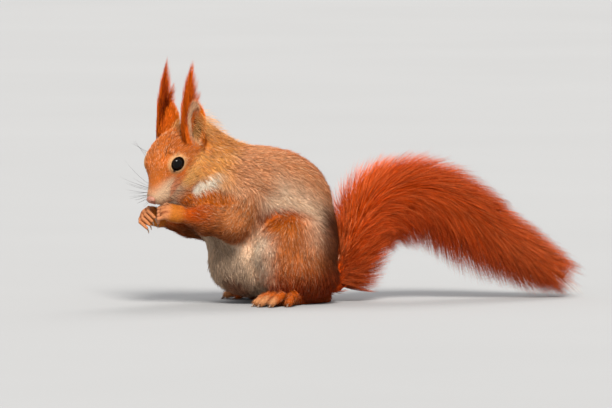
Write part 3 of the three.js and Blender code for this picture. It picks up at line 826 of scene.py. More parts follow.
def marking(p):
    """The coat's colour at points on the skin, and the part each point belongs to."""
    names = list(PARTS)
    distances = np.stack([PARTS[name](p) for name in names], 1)
    weights = np.exp(-(distances - distances.min(1, keepdims=True)) / 0.9)
    weights /= weights.sum(1, keepdims=True)
    toward_head = smoothstep(TORSO(p) - HEAD(p), -5, 5)[:, None]
    body_colour = trunk_marking(p) * (1 - toward_head) + head_marking(p) * toward_head
    for side in SIDES:
        at, *_ = ear_axes(side)
        body_colour = paint(body_colour, spot(p, at(2, -8, 1.5), (3, 4, 8)) * 0.6, "golden")
    colour = weights[:, :1] * body_colour
    for i, name in enumerate(names[1:], start=1):
        kind, _, side = name.partition("_")
        colour = colour + weights[:, i : i + 1] * PAINTERS[kind](p, side)
    label = np.array(names, dtype=object)[np.argmin(distances, axis=1)]
    label[(label == "body") & (HEAD(p) + 4 < TORSO(p) + 6)] = "head"
    for side in SIDES:
        _, elbow, wrist, *_ = ARMS[side]
        behind = (p - elbow) @ unit(wrist - elbow) < 4 + 1.5 * wander(p, 9, 3)
        label[(label == f"arm_{side}") & behind] = "body"
    label[label == "body"] = "trunk"
    label[(label == "head") & (away(p, NOSE) < 31)] = "face"
    return colour, label


# ---------------------------------------------------------------- meshes


def add_object(name, data):
    obj = bpy.data.objects.new(name, data)
    bpy.context.scene.collection.objects.link(obj)
    return obj


def add_mesh(name, points, faces, attributes, material):
    """A mesh object from points in the squirrel's frame, with a number or a colour at each point."""
    mesh = bpy.data.meshes.new(name)
    corners = faces.shape[1]
    mesh.vertices.add(len(points))
    mesh.vertices.foreach_set("co", to_row(points).astype(np.float32).ravel())
    mesh.loops.add(faces.size)
    mesh.loops.foreach_set("vertex_index", faces.astype(np.int32).ravel())
    mesh.polygons.add(len(faces))
    mesh.polygons.foreach_set("loop_start", np.arange(0, faces.size, corners, dtype=np.int32))
    mesh.polygons.foreach_set("use_smooth", np.ones(len(faces), bool))
    mesh.update(calc_edges=True)
    for key, values in attributes.items():
        if values.ndim == 2:
            layer = mesh.attributes.new(key, "FLOAT_COLOR", "POINT")
            rgba = np.column_stack([np.clip(values, 0, 1), np.ones(len(values))])
            layer.data.foreach_set("color", rgba.astype(np.float32).ravel())
        else:
            layer = mesh.attributes.new(key, "FLOAT", "POINT")
            layer.data.foreach_set("value", values.astype(np.float32))
    mesh.materials.append(material)
    return add_object(name, mesh)


def finish_piece(obj, slot, *replaced):
    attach(obj, "root")
    if replaced:
        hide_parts(*replaced)
    return obj


def wrapped(p, axis_start, axis_end):
    """An unwrap of points round an axis: turn round it and place along it, each from 0 to 1."""
    axis = unit(axis_end - axis_start)
    side = unit(np.cross(axis, vec(0.13, 1, 0.21)))
    q = p - axis_start
    turn = np.arctan2(q @ np.cross(axis, side), q @ side) / (2 * math.pi) + 0.5
    place = q @ axis
    place = (place - place.min()) / max(np.ptp(place), 1e-6)
    return 0.01 + 0.98 * np.stack([turn, place], 1)


def tapered_hairs(paths, widths, flat=0.55, sides=3):
    """Closed pointed hairs along paths (hair, station, xyz): points, triangles, share along, place across."""
    hairs, stations, _ = paths.shape
    rings = stations - 1
    tangent = unit(np.gradient(paths, axis=1))
    across = unit(np.cross(tangent[:, 0], vec(0.31, 0.23, 0.92)))
    angles = 2 * math.pi * np.arange(sides) / sides + math.pi / 6
    taper, taper_power, root_width = 0.85, 1.7, 0.8
    profile = 1 - (np.arange(rings) / rings) ** taper_power * taper
    profile[0] = root_width
    points = np.empty((hairs, rings * sides + 1, 3))
    for i in range(rings):
        wide = unit(across - dot(across, tangent[:, i])[:, None] * tangent[:, i])
        deep = np.cross(tangent[:, i], wide)
        radius = (widths * profile[i] / 2)[:, None]
        for j, angle in enumerate(angles):
            offset = wide * math.cos(angle) * radius + deep * math.sin(angle) * radius * flat
            points[:, i * sides + j] = paths[:, i] + offset
    points[:, -1] = paths[:, -1]
    one = [(0, 2, 1)]
    for i in range(rings - 1):
        for j in range(sides):
            a, b = i * sides + j, i * sides + (j + 1) % sides
            one += [(a, b, b + sides), (a, b + sides, a + sides)]
    base = (rings - 1) * sides
    one += [(base + j, base + (j + 1) % sides, rings * sides) for j in range(sides)]
    count = rings * sides + 1
    faces = (np.array(one)[None] + np.arange(hairs)[:, None, None] * count).reshape(-1, 3)
    along = np.append(np.repeat(np.arange(rings) / rings, sides), 1.0)
    over = np.append(np.tile(np.arange(sides) / (sides - 1), rings), 0.5)
    return points, faces, np.tile(along, hairs), np.tile(over, hairs)


def add_hairs(name, paths, widths, colour, tone, roots_on_map, slot, material, flat=0.55):
    """One piece of coat: hairs with their colours, and a bake map with a patch for each hair."""
    points, faces, along, over = tapered_hairs(paths, widths, flat)
    points[..., 2] = np.maximum(points[..., 2], HAIR_LOWEST)
    each = points.shape[1]
    attributes = {
        "coat_colour": np.repeat(colour, each, axis=0),
        "coat_tone": np.repeat(tone, each),
        "along_hair": along,
    }
    obj = add_mesh(name, points.reshape(-1, 3), faces, attributes, material)
    place = np.repeat(roots_on_map, each, axis=0)
    place = np.clip(place + HAIR_PATCH * (np.stack([over, along], 1) - 0.5), 0, 1)
    layer = obj.data.uv_layers.new(name="OFBake")
    layer.data.foreach_set("uv", place[faces.ravel()].astype(np.float32).ravel())
    print(f"{name}: {len(paths)} hairs, {len(faces)} triangles")
    return finish_piece(obj, slot)


# ---------------------------------------------------------------- the lie of the coat

# The hair at a place runs the way of the streams nearest to it, which run from place to place along these
# lines. They are the left side's, and the right side mirrors them. Those of the head start from the nose.

CROWN_LINES = [[(-3, 0, 3), (-22, 0, 13), (-46, 0, 20)]]
CHEEK_LINES = [
    [(-6, 5, -1), (-20, 12, 0)],
    [(-20, 13, 1), (-34, 17, -4)],
    [(-16, 8, -8), (-36, 13, -14)],
    [(-24, 12, 14), (-40, 16, 12)],
]
CHIN_LINES = [[(-8, 0, -9), (-34, 0, -16)]]
TRUNK_LINES = [
    [(-88, 0, 104), (-62, 0, 92), (-30, 0, 92), (-8, 0, 70), (-1, 0, 42), (-4, 0, 12)],
    [(-84, -16, 88), (-66, -24, 76)],
    [(-66, -26, 74), (-38, -33, 62)],
    [(-38, -33, 66), (-10, -26, 44), (-2, -20, 18)],
    [(-96, -6, 66), (-84, -10, 52)],
    [(-88, 0, 52), (-82, 0, 30)],
    [(-82, -8, 32), (-72, -14, 8)],
    [(-62, -24, 44), (-62, -24, 16)],
    [(-80, -20, 84), (-68, -27, 66)],
    [(-66, -28, 66), (-70, -29, 54)],
    [(-68, -28, 52), (-86, -24, 46)],
    [(-60, -29, 66), (-58, -31, 48)],
]
HAUNCH_LINES = [
    [(-46, -34, 56), (-58, -34, 42)],
    [(-57, -34, 40), (-57, -33, 12)],
    [(-36, -38, 56), (-38, -40, 12)],
    [(-26, -36, 54), (-22, -38, 12)],
    [(-12, -30, 48), (-8, -28, 10)],
]


def streams(lines, s, find=vec):
    """The streams along lines, mirrored if s is -1. `find` turns three numbers into a place."""
    placed = [[find(x, s * y, z) for x, y, z in line] for line in lines]
    return [pair for line in placed for pair in zip(line[:-1], line[1:])]


def streams_of(label):
    """The streams that rule one part of the coat, each a pair of places."""
    kind, _, side = label.partition("_")
    if kind in ("head", "face"):
        cheeks = streams(CHEEK_LINES, 1, on_head) + streams(CHEEK_LINES, -1, on_head)
        return streams(CROWN_LINES, 1, on_head) + cheeks + streams(CHIN_LINES, 1, on_head)
    if kind == "trunk":
        return streams(TRUNK_LINES, 1) + streams(TRUNK_LINES, -1)
    if kind == "haunch":
        return streams(HAUNCH_LINES, -SIDES[side])
    if kind == "arm":
        a, b, c, *_ = ARMS[side]
        lower = (b + vec(2, 0, -4), b + (c - b) * 0.7)
        return [(a, b + vec(4, 0, 0)), (b + vec(2, 0, 6), c + vec(0, 0, 2)), lower]
    if kind == "hand":
        _, _, wrist, knuckles, tips = ARMS[side]
        return [(wrist, knuckles), (knuckles, tips)]
    if kind == "foot":
        at, *_ = foot_axes(SIDES[side])
        return [(at(-4, 0, 4), at(30, 0, 5)), (at(30, 0, 5), at(56, 0, 2))]
    if kind == "ear":
        at, *_ = ear_axes(side)
        return [(at(2), at(27)), (at(2, -5, 1), at(-7, -11, 2))]
    return [(vec(-4, 0, 12), vec(6, 0, 34))]


def lie_of(p, label):
    """The way that the hair runs at points of one part."""
    total = np.zeros_like(p)
    for a, b in streams_of(label):
        distance = np.maximum(bar(a, b, 0, 0)(p), 0.5)
        total += unit(b - a) / (distance**3)[:, None]
    return unit(total)


# The coat of each part: spacing of the roots, hair length and width, how far it stands off the skin in
# degrees, how many places each hair's path has, and the share of hairs that are pale.
Coat = namedtuple("Coat", "spacing length width lift stations pale slot")
COAT = {
    "face": Coat(0.46, 3.8, 0.38, 17, 2, 0.24, "orange_fur"),
    "head": Coat(0.56, 5.2, 0.42, 19, 3, 0.24, "orange_fur"),
    "trunk": Coat(0.72, 7.2, 0.38, 17, 3, 0.34, "grizzled_fur"),
    "haunch": Coat(0.68, 7.2, 0.38, 16, 3, 0.26, "grizzled_fur"),
    "arm": Coat(0.62, 5.4, 0.38, 18, 3, 0.16, "orange_fur"),
    "hand": Coat(0.44, 1.7, 0.24, 16, 2, 0.0, "orange_fur"),
    "foot": Coat(0.46, 3.2, 0.32, 22, 2, 0.2, "orange_fur"),
    "ear": Coat(0.48, 4.2, 0.30, 22, 2, 0.0, "orange_fur"),
    "tail": Coat(1.7, 9.0, 0.6, 22, 3, 0.0, "tail_hair"),
}


def scatter(points, quads, rng, spacing):
    """Even random places on the skin: one for each cell of a grid as wide as the spacing."""
    tries_per_cell, cells_across = 2.6, 4096
    tris = np.vstack([quads[:, [0, 1, 2]], quads[:, [0, 2, 3]]])
    a, b, c = (points[tris[:, k]] for k in range(3))
    area = np.linalg.norm(np.cross(b - a, c - a), axis=1) / 2
    tries = int(area.sum() / spacing**2 * tries_per_cell)
    pick = rng.choice(len(tris), tries, p=area / area.sum())
    u, v = rng.random((2, tries))
    flip = u + v > 1
    u, v = np.where(flip, 1 - u, u)[:, None], np.where(flip, 1 - v, v)[:, None]
    places = a[pick] + (b[pick] - a[pick]) * u + (c[pick] - a[pick]) * v
    cell = np.floor(places / spacing + rng.random(3)).astype(np.int64)
    key = (cell[:, 0] * cells_across + cell[:, 1]) * cells_across + cell[:, 2]
    _, first = np.unique(key, return_index=True)
    return places[np.sort(first)]


def local_length(p, label):
    """How long the hair is at each place, as a share of its part's length."""
    kind, _, side = label.partition("_")
    if kind == "face":
        share = 0.40 + 0.60 * smoothstep(away(p, NOSE), 8, 30)
        for eye in SIDES:
            from_eye = away(p - eye_centre(eye), gaze(eye) * 3.3)
            share *= 0.30 + 0.70 * smoothstep(from_eye, 4.6, 10)
        return share + 0.5 * spot(p, on_head(-14, 0, -11), (8, 9, 5))
    if kind == "head":
        return 0.62 + 0.55 * smoothstep(away(p, NOSE), 31, 56)
    if kind == "trunk":
        share = 0.75 + 0.25 * smoothstep(p[:, 0], -100, -70)
        return share * (1 - 0.45 * spots(p, -74, 26, 50, (16, 12, 14)))
    if kind == "haunch":
        return 1.1 - 0.2 * smoothstep(p[:, 2], 14, 40)
    if kind == "hand":
        _, knuckles, _, ahead, *_ = hand_axes(side)
        return 1 - 0.65 * smoothstep((p - knuckles) @ ahead, -5, 0)
    if kind == "foot":
        at, ahead, _ = foot_axes(SIDES[side])
        return 1.25 - 0.55 * smoothstep((p - at(0, 0, 0)) @ ahead, 34, 50)
    if kind == "arm":
        return 0.42 + 0.58 * smoothstep(away(p, ARMS[side][2]), 4, 26)
    return np.ones(len(p))


def bent(start, bend, end, stations):
    """A curve from each start to its end, pulled towards its bend, as `stations` places."""
    t = np.linspace(0, 1, stations)[None, :, None]
    return start[:, None] * (1 - t) ** 2 + bend[:, None] * 2 * t * (1 - t) + end[:, None] * t**2


def hair_paths(p, normal, run, length, lift, sway, stations):
    """Hairs that leave the skin at `lift` and lie down towards their tips."""
    flat_run = unit(run - dot(run, normal)[:, None] * normal)
    start = flat_run * np.cos(lift)[:, None] + normal * np.sin(lift)[:, None]
    end = unit(flat_run + normal * 0.12 + sway)
    bend = p + start * (length / 2)[:, None]
    return bent(p - normal * UNDER_SKIN, bend, bend + end * (length / 2)[:, None], stations)


def clear_of_features(p):
    """Which places grow hair: not the lid rims, the ear's depth, the nose, the mouth or the soles."""
    keep = (away(p, on_head(-1.6, 0, 0.2)) > 3.0) & (p[:, 2] > 0.6)
    for side in SIDES:
        reach, height = eye_reach(p, side)
        keep &= (reach > 1.18) | (height < 0)
        keep &= ear_opening(p, side) < 0.5
    for form in MOUTH_FORMS:
        keep &= form(p) > 0.5
    return keep


def coat_groups(label, p):
    """Splits a part's hairs into pieces: pairs of a piece name and which hairs it takes."""
    if label == "trunk":
        high, rear = p[:, 2] > 62, p[:, 0] > -46
        return [
            ("coat_shoulders", high & ~rear),
            ("coat_back", high & rear),
            ("coat_chest", ~high & ~rear),
            ("coat_rump", ~high & rear),
        ]
    if label in ("head", "face"):
        left = (p - NOSE) @ HEAD_LEFT > 0
        return [(f"coat_{label}_left", left), (f"coat_{label}_right", ~left)]
    return [(f"coat_{label}", np.ones(len(p), bool))]


HEAD_UNWRAP = (on_head(-50, 0, 0), on_head(0, 0, 0))
UNWRAP_AXIS = {
    "face": HEAD_UNWRAP,
    "head": HEAD_UNWRAP,
    "trunk": (vec(-92, 0, 82), vec(0, 0, 20)),
    "haunch": (vec(-36, 0, 60), vec(-34, 0, 0)),
    "arm": (vec(-60, 0, 60), vec(-110, 0, 52)),
    "foot": (vec(-14, 0, 4), vec(-70, 0, 4)),
    "tail": (vec(-8, 0, 4), vec(10, 0, 40)),
}


def unwrap_axis(label, p):
    """The axis that a part's bake map is wrapped round: for a limb, moved sideways to its hairs."""
    kind, _, side = label.partition("_")
    if kind == "ear":
        at, *_ = ear_axes(side)
        return at(0), at(27)
    if kind == "hand":
        return ARMS[side][2:4]
    a, b = UNWRAP_AXIS[kind]
    middle = vec(0, p[:, 1].mean() if side else 0, 0)
    return a + middle, b + middle


def tones(rng, count, spread, limit=2.0):
    """Each hair's own brightness, round 1."""
    return 1 + spread * rng.normal(size=count).clip(-limit, limit)


def grizzle(kind, p, colour, rng):
    """Each hair's own colour and tone: some hairs are pale, some rusty, and all vary in small streaks."""
    draw = rng.random(len(p)) + 0.12 * wander(p, 3.0, 32)
    share = COAT[kind].pale
    pale = (draw < share) * rng.uniform(0.2, 0.6, len(p)) * smoothstep(colour[:, 0], 0.2, 0.6)
    dark = (draw > 1 - share) * rng.uniform(0.2, 0.6, len(p)) * smoothstep(-colour[:, 2], -0.5, -0.15)
    if kind == "trunk":
        dark = dark * 0.6
    spread = 0.28 if kind in ("hand", "foot", "face") else 0.20
    spread = spread * (1 - 0.4 * smoothstep(colour[:, 2], 0.15, 0.4))
    tone = tones(rng, len(p), spread, 1.8) + 0.08 * wander(p, 7, 31)
    return paint(paint(colour, pale, "pale"), dark, "rust"), tone


def drift(p, scale, seed):
    """Smooth noise in three directions, from three seeds that follow on from each other."""
    return np.stack([wander(p, scale, seed + k) for k in range(3)], 1)


def grow_coat(points, quads, material):
    """All the short coat, part by part."""
    rng = np.random.default_rng(SEEDS["coat"])
    finest = min(coat.spacing for coat in COAT.values())
    p = scatter(points, quads, rng, finest)
    colour, label = marking(p)
    for name in sorted(set(label)):
        kind = name.split("_")[0]
        coat = COAT[kind]
        chosen = np.flatnonzero(label == name)
        chosen = chosen[rng.random(len(chosen)) < (finest / coat.spacing) ** 2]
        chosen = chosen[clear_of_features(p[chosen])]
        q = p[chosen]
        unruly = 0.12
        sway = drift(q, 12, 40) * unruly + drift(q, 3.2, 50) * unruly + rng.normal(size=q.shape) * unruly
        size = coat.length * local_length(q, name)
        length = size * rng.uniform(0.7, 1.15, len(q))
        lift = np.radians(coat.lift * rng.uniform(0.6, 1.4, len(q)))
        run = unit(lie_of(q, name) + sway * 0.8)
        paths = hair_paths(q, unit(slopes(skin_field, q, 0.4)), run, length, lift, sway, coat.stations)
        width = coat.width * (0.45 + 0.55 * size / coat.length) * rng.uniform(0.75, 1.2, len(q))
        hue, tone = grizzle(kind, q, colour[chosen], rng)
        on_map = wrapped(q, *unwrap_axis(name, q))
        for piece, take in coat_groups(name, q):
            if take.any():
                add_hairs(
                    piece, paths[take], width[take], hue[take], tone[take], on_map[take], coat.slot, material
                )


# ---------------------------------------------------------------- tail hair


def along_tail(values, share):
    """Values given at each station of a tail path, at shares of its length."""
    return np.interp(np.clip(share, 0, 1) * TAIL_STEPS, np.arange(TAIL_STEPS + 1), values)


def tail_frame(path, share):
    """Place in the middle plane, the run and the outward direction in that plane, at shares of a path."""

    def in_plane(xz):
        return np.stack([along_tail(xz[:, 0], share), np.zeros(len(share)), along_tail(xz[:, 1], share)], 1)

    run = unit(in_plane(np.gradient(path[:, :2], axis=0)))
    return in_plane(path), run, np.cross(run, vec(0, 1, 0))


def tail_colour(share, upward, reach):
    """Bright along the bone, deep red below, redder at the root and paler towards the outer tips."""
    return painted(
        len(share),
        "tail_mid",
        (smoothstep(-reach, -0.85, -0.55), "tail_bright"),
        (smoothstep(-upward, 0.1, 0.9) * smoothstep(share, 0.15, 0.35) * 0.8, "tail_low"),
        (smoothstep(-share, -0.2, -0.05) * 0.4, "tuft"),
        (smoothstep(share, 0.6, 0.9) * 0.2, "tail_tip"),
        (smoothstep(reach, 0.9, 1.05) * (0.38 + 0.12 * upward), "tail_tip"),
    )


def grow_tail(material):
    """The brush: hairs that leave the bone slanting towards its tip and fan out to the outline."""
    rng = np.random.default_rng(SEEDS["tail"])
    count = TAIL_HAIRS
    girth = np.cumsum(BRUSH_PATH[:, 2] + BRUSH_PATH[:, 3])
    stations = np.arange(TAIL_STEPS + 1) / TAIL_STEPS
    ahead = np.sort(np.interp(rng.random(count), girth / girth[-1], stations))
    turn = rng.random(count) * 2 * math.pi
    outer, inner = np.maximum(np.cos(turn), 0), np.maximum(-np.cos(turn), 0)
    reach = 1.03 - 0.6 * rng.random(count) ** 1.7
    lag = (0.03 + 0.055 * reach + 0.02 * inner) * rng.uniform(0.7, 1.3, count)
    share = np.minimum(np.maximum(ahead - lag, ahead * rng.uniform(0.25, 0.8, count)), 0.975)
    base, _, outward = tail_frame(BONE_PATH, share)
    aside = vec(0, 1, 0)
    radial = outward * np.cos(turn)[:, None] + aside * np.sin(turn)[:, None]
    root = base + radial * bone_radius(share)[:, None] * 0.8
    middle, edge_run, edge_out = tail_frame(BRUSH_PATH, ahead)
    broad, thick = (along_tail(BRUSH_PATH[:, k], ahead) for k in (2, 3))
    edge = middle + edge_out * (np.cos(turn) * broad)[:, None] + aside * (np.sin(turn) * thick)[:, None]
    core, *_ = tail_frame(BONE_PATH, ahead)
    ragged = 1 + (0.045 * wander(edge, 5, 77) + 0.035 * rng.normal(size=count)) * (1 - 0.5 * inner)
    tip = core + (edge - core) * (reach * ragged)[:, None]
    tip = tip + edge_run * (smoothstep(ahead, 0.9, 1.0) * rng.uniform(0, 7, count))[:, None]
    tip[:, 2] = np.maximum(tip[:, 2], 0.3)
    size = np.linalg.norm(tip - root, axis=1, keepdims=True)
    bulge = rng.uniform(-0.02, 0.13, (count, 1)) + 0.05 * outer[:, None]
    sway = drift(root + radial * 9, 16, 60) * 0.025 + rng.normal(size=(count, 3)) * 0.03
    paths = bent(root, (root + tip) / 2 + (radial * bulge + sway) * size, tip, 4)
    width = rng.uniform(0.22, 0.40, count)
    tone = tones(rng, count, 0.24) + 0.06 * wander(edge, 12, 33)
    colour = tail_colour(ahead, np.cos(turn), reach)
    colour = paint(colour, (rng.random(count) < 0.07) * rng.uniform(0.3, 0.7, count), "tail_tip")
    on_map = np.stack([0.01 + 0.98 * turn / (2 * math.pi), ahead], 1)
    for i, take in enumerate(np.array_split(np.arange(count), TAIL_PIECES), start=1):
        local = on_map[take]
        first, last = local[0, 1], local[-1, 1]
        local[:, 1] = 0.01 + 0.98 * (local[:, 1] - first) / (last - first)
        add_hairs(
            f"tail_hair_{i}", paths[take], width[take], colour[take], tone[take], local, "tail_hair", material
        )


# ---------------------------------------------------------------- ear tufts, ear lining and whiskers


def free_hairs(roots, tips, bulge, stations):
    """Curved hairs from roots to tips, bent by `bulge` at the middle."""
    return bent(roots, (roots + tips) / 2 + bulge, tips, stations)


def grow_ear_tuft(side, material):
    """Long red winter hair that rises from the ear's front edge, drawn together into uneven pointed locks."""
    at, *_ = ear_axes(side)
    rng = np.random.default_rng(SEEDS["tuft"] + (side == "right"))
    count = TUFT_LOCKS * LOCK_HAIRS
    lock = np.repeat(np.arange(TUFT_LOCKS), LOCK_HAIRS)
    place = lock / (TUFT_LOCKS - 1)
    tip_forward = (8.6 - 14.5 * place + rng.normal(size=TUFT_LOCKS)[lock] * 0.6)[:, None]
    highest = EAR["height"] + EAR["tuft"]
    drop = np.abs(tip_forward[:, 0] - 0.8) ** 1.25 * 1.7 + rng.random(TUFT_LOCKS)[lock] * 5.0
    tip_height = (highest - drop - rng.random(count) ** 1.4 * 19)[:, None]
    tip_out = (2.2 * (tip_height - 30) / 24 + rng.normal(size=(count, 1)) * 0.45) - 0.2
    root_height = rng.uniform(-1, 25, (count, 1))
    root_forward = 5.4 + (tip_forward - 2) * 0.22 + rng.normal(size=(count, 1)) * 0.7
    root_forward -= 2.6 * smoothstep(root_height, 12, 25)
    root = at(root_height, root_forward, rng.uniform(-2.2, 0.9, (count, 1)))
    tip = at(tip_height, tip_forward + rng.normal(size=(count, 1)) * 0.35, tip_out)
    bulge = HEADING * (2.6 - 0.25 * tip_forward) + rng.normal(size=(count, 3)) * 0.4
    paths = free_hairs(root, tip, bulge, 5)
    width = rng.uniform(0.18, 0.34, count)
    colour = painted(count, "tuft", (smoothstep(-root_height[:, 0], -20, -8) * 0.8, "ear_back"))
    tone = tones(rng, count, 0.25)
    on_map = wrapped(root, at(0), at(27))
    tuft = add_hairs(f"ear_tuft_hair_{side}", paths, width, colour, tone, on_map, "tail_hair", material)
    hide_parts(f"ear_tuft_{side}")


def grow_ear_lining(side, material):
    """A few pale hairs along the front edge of the ear's cup, and golden ones along its rear edge."""
    at, out, rise = ear_axes(side)
    rng = np.random.default_rng(SEEDS["lining"] + (side == "right"))
    count = LINING_HAIRS
    front = rng.random(count) < 0.35
    height = np.where(front, rng.uniform(11, 24, count), rng.uniform(-4, 22, count))
    half = 6.4 * np.sqrt(np.clip(1 - ((height - 9.5) / 16) ** 2, 0, 1))
    forward = np.where(front, half, -half - 0.6 + rng.uniform(0, 1.6, count)) + rng.normal(size=count) * 0.3
    root = at(height[:, None], forward[:, None], rng.uniform(-0.4, 1.4, count)[:, None])
    inward = np.where(front, -0.7, 0.05)
    reach = np.where(front, rng.uniform(3.0, 6.5, count), rng.uniform(2.0, 4.5, count))
    tip = root + HEADING * (inward * reach * 0.7)[:, None] + rise * (reach * 0.8)[:, None]
    tip = tip + out * rng.uniform(0.4, 2.6, count)[:, None]
    paths = free_hairs(root, tip, out * 0.9 + rng.normal(size=(count, 3)) * 0.25, 4)
    width = rng.uniform(0.18, 0.32, count)
    colour = np.where(front[:, None], COLOURS["ear_inside"], COLOURS["golden"])
    on_map = wrapped(root, at(0), at(27))
    tone = tones(rng, count, 0.18)
    add_hairs(f"ear_lining_{side}", paths, width, colour, tone, on_map, "orange_fur", material)


def grow_nape_fuzz(points, quads, material):
    """Fine pale hair that stands off the nape, behind the ears."""
    rng = np.random.default_rng(SEEDS["nape"])
    p = scatter(points, quads, rng, spacing=1.3)
    nape = bar(vec(-93, -3, 108), vec(-68, 0, 96), 13, 9)
    p = p[(nape(p) < 0) & (p[:, 2] > 92)]
    count = len(p)
    normal = unit(slopes(skin_field, p, 0.4))
    length = rng.uniform(0.7, 1.2, count) * (5.0 + 7.0 * smoothstep(p[:, 2], 98, 110))
    lift = np.radians(rng.uniform(30, 66, count))
    sway = rng.normal(size=p.shape) * 0.16
    run = unit(lie_of(p, "trunk") + sway)
    paths = hair_paths(p, normal, run, length, lift, sway + normal * 0.35, 4)
    colour = painted(count, "neck", (rng.random(count) * 0.6, "ring"))
    tone = tones(rng, count, 0.12)
    on_map = wrapped(p, *UNWRAP_AXIS["trunk"])
    width = rng.uniform(0.18, 0.3, count)
    add_hairs("nape_fuzz", paths, width, colour, tone, on_map, "orange_fur", material)


def grow_whiskers(material):
    """Long dark whiskers that sweep out and back from the lip pads, in rows, with a few over each eye."""
    rng = np.random.default_rng(SEEDS["whiskers"])
    rows, whiskers_each = 4, 5
    whiskers = []  # root, run to the tip, bulge
    for s in (1, -1):
        for row in range(rows):
            for place in range(whiskers_each):
                root = on_head(-5.5 - place * 1.7, s * (5.6 + place * 0.55), 0.6 - row * 1.5)
                length = 13 + place * 3.4 - row * 0.8
                aim = s * HEAD_LEFT * (0.9 - 0.06 * place) + HEAD_FORWARD * (0.34 - 0.14 * place)
                aim = unit(aim + HEAD_UP * (0.30 - 0.22 * row) + rng.normal(size=3) * 0.07)
                whiskers.append((root, aim * length, (HEAD_FORWARD * 0.07 + HEAD_UP * 0.05) * length))
        for place in range(3):
            root = on_head(EYE["forward"] - 1 + place * 1.6, s * 8.6, 14.2)
            aim = unit(s * HEAD_LEFT * 0.7 + HEAD_UP * 0.7 - HEAD_FORWARD * 0.25 * place)
            whiskers.append((root, aim * 13, HEAD_UP * 0.8))
    roots, runs, bulges = (np.array(column) for column in zip(*whiskers))
    count = len(roots)
    paths = free_hairs(roots, roots + runs, bulges, 9)
    on_map = wrapped(roots, *HEAD_UNWRAP)
    colour, tone, width = painted(count, "dark"), np.ones(count), np.full(count, 0.17)
    add_hairs("whiskers", paths, width, colour, tone, on_map, "tail_hair", material, flat=1.0)


def grow_wisps(material):
    """A few long pale hairs that straggle from the tail's end along the floor."""
    rng = np.random.default_rng(SEEDS["wisps"])
    count = WISPS
    base, run, _ = tail_frame(BONE_PATH, rng.uniform(0.8, 0.97, count))
    root = base + rng.normal(size=(count, 3)) * (1.2, 2.0, 1.2)
    tip = root + run * rng.uniform(16, 30, count)[:, None] + rng.normal(size=(count, 3)) * (3, 5, 3)
    tip[:, 2] = np.maximum(tip[:, 2] - 6, 0.4)
    past_cad = 6
    tip[:, 0] = np.minimum(tip[:, 0], cad_high.x * 1000 - SHIFT[0] + past_cad)
    paths = free_hairs(root, tip, vec(0, 0, 2.5), 7)
    on_map = wrapped(root, vec(100, 0, 30), vec(140, 0, 8))
    colour, tone, width = painted(count, "wisp"), np.ones(count), rng.uniform(0.18, 0.3, count)
    add_hairs("tail_wisps", paths, width, colour, tone, on_map, "tail_hair", material, flat=1.0)


# ---------------------------------------------------------------- eyes, nose and claws


def closed_faces(rings, sides):
    """Triangles over a first point, rings of `sides` points each, and a last point."""
    last = rings * sides + 1
    end = last - sides
    faces = []
    for j in range(sides):
        k = (j + 1) % sides
        faces += [(0, 1 + j, 1 + k), (last, end + k, end + j)]
        for a in range(1, end, sides):
            b = a + sides
            faces += [(a + j, b + j, b + k), (a + j, b + k, a + k)]
    return np.array(faces)


def add_eye(side, material):
    """An eyeball whose clear front bulges a little, turned to its gaze."""
    look = gaze(side)
    across = unit(np.cross(look, vec(0, 0, 1)))
    rings, sides = 27, 40
    tilt = math.pi * np.repeat(np.arange(1, rings + 1), sides) / (rings + 1)
    turn = 2 * math.pi * np.tile(np.arange(sides), rings) / sides
    round_axis = np.stack([np.sin(tilt) * np.cos(turn), np.sin(tilt) * np.sin(turn), np.cos(tilt)], 1)
    directions = np.vstack([vec(0, 0, 1), round_axis, vec(0, 0, -1)])
    bulge = 0.28 * smoothstep(directions[:, 2], 0.72, 0.98)
    local = directions * (EYE["radius"] - 0.12 + bulge)[:, None]
    points = eye_centre(side) + local @ np.array([across, np.cross(look, across), look])
    off_axis = np.degrees(np.arccos(np.clip(directions[:, 2], -1, 1)))
    obj = add_mesh(f"eyeball_{side}", points, closed_faces(rings, sides), {"off_axis": off_axis}, material)
    finish_piece(obj, "eye", f"eye_{side}")


def add_nose(material):
    """The bare nose pad with its two comma nostrils and the cleft below."""
    pad = blend(1.5, head_lump((-2.4, 0, 0.6), (2.2, 3.4, 2.3)), head_lump((-3.2, 0, -1.6), (1.8, 1.4, 2.6)))
    hollows = [head_lump((-0.9, s * 2.0, 0.3), (1.3, 0.75, 0.7)) for s in (1, -1)]
    hollows.append(bar(on_head(-0.2, 0, 0.2), on_head(-1.2, 0, -3.6), 0.22, 0.3))

    def field(p):
        total = pad(p)
        for hollow in hollows:
            total = np.maximum(total, -hollow(p))
        return total

    half_box, spacing = 6, 0.22
    lines = [np.arange(c - half_box, c + half_box, spacing) for c in on_head(-2.6, 0, -0.4)]
    points, quads = surface_net(dense_values(field, *lines, reach=3.0), *lines)
    finish_piece(add_mesh("nose_pad", points, quads, {}, material), "bare_skin", "nose")


def tube(path, radii, side, sides=10):
    """A closed tube along a path, flatter along `side`: points and triangles."""
    tangent = unit(np.gradient(path, axis=0))
    points = [path[0]]
    for i in range(1, len(path) - 1):
        wide = unit(side - (side @ tangent[i]) * tangent[i])
        deep = np.cross(tangent[i], wide)
        for j in range(sides):
            a = 2 * math.pi * j / sides
            points.append(path[i] + radii[i] * (wide * math.cos(a) * 0.8 + deep * math.sin(a)))
    points.append(path[-1])
    return np.array(points), closed_faces(len(path) - 2, sides)[:, ::-1]


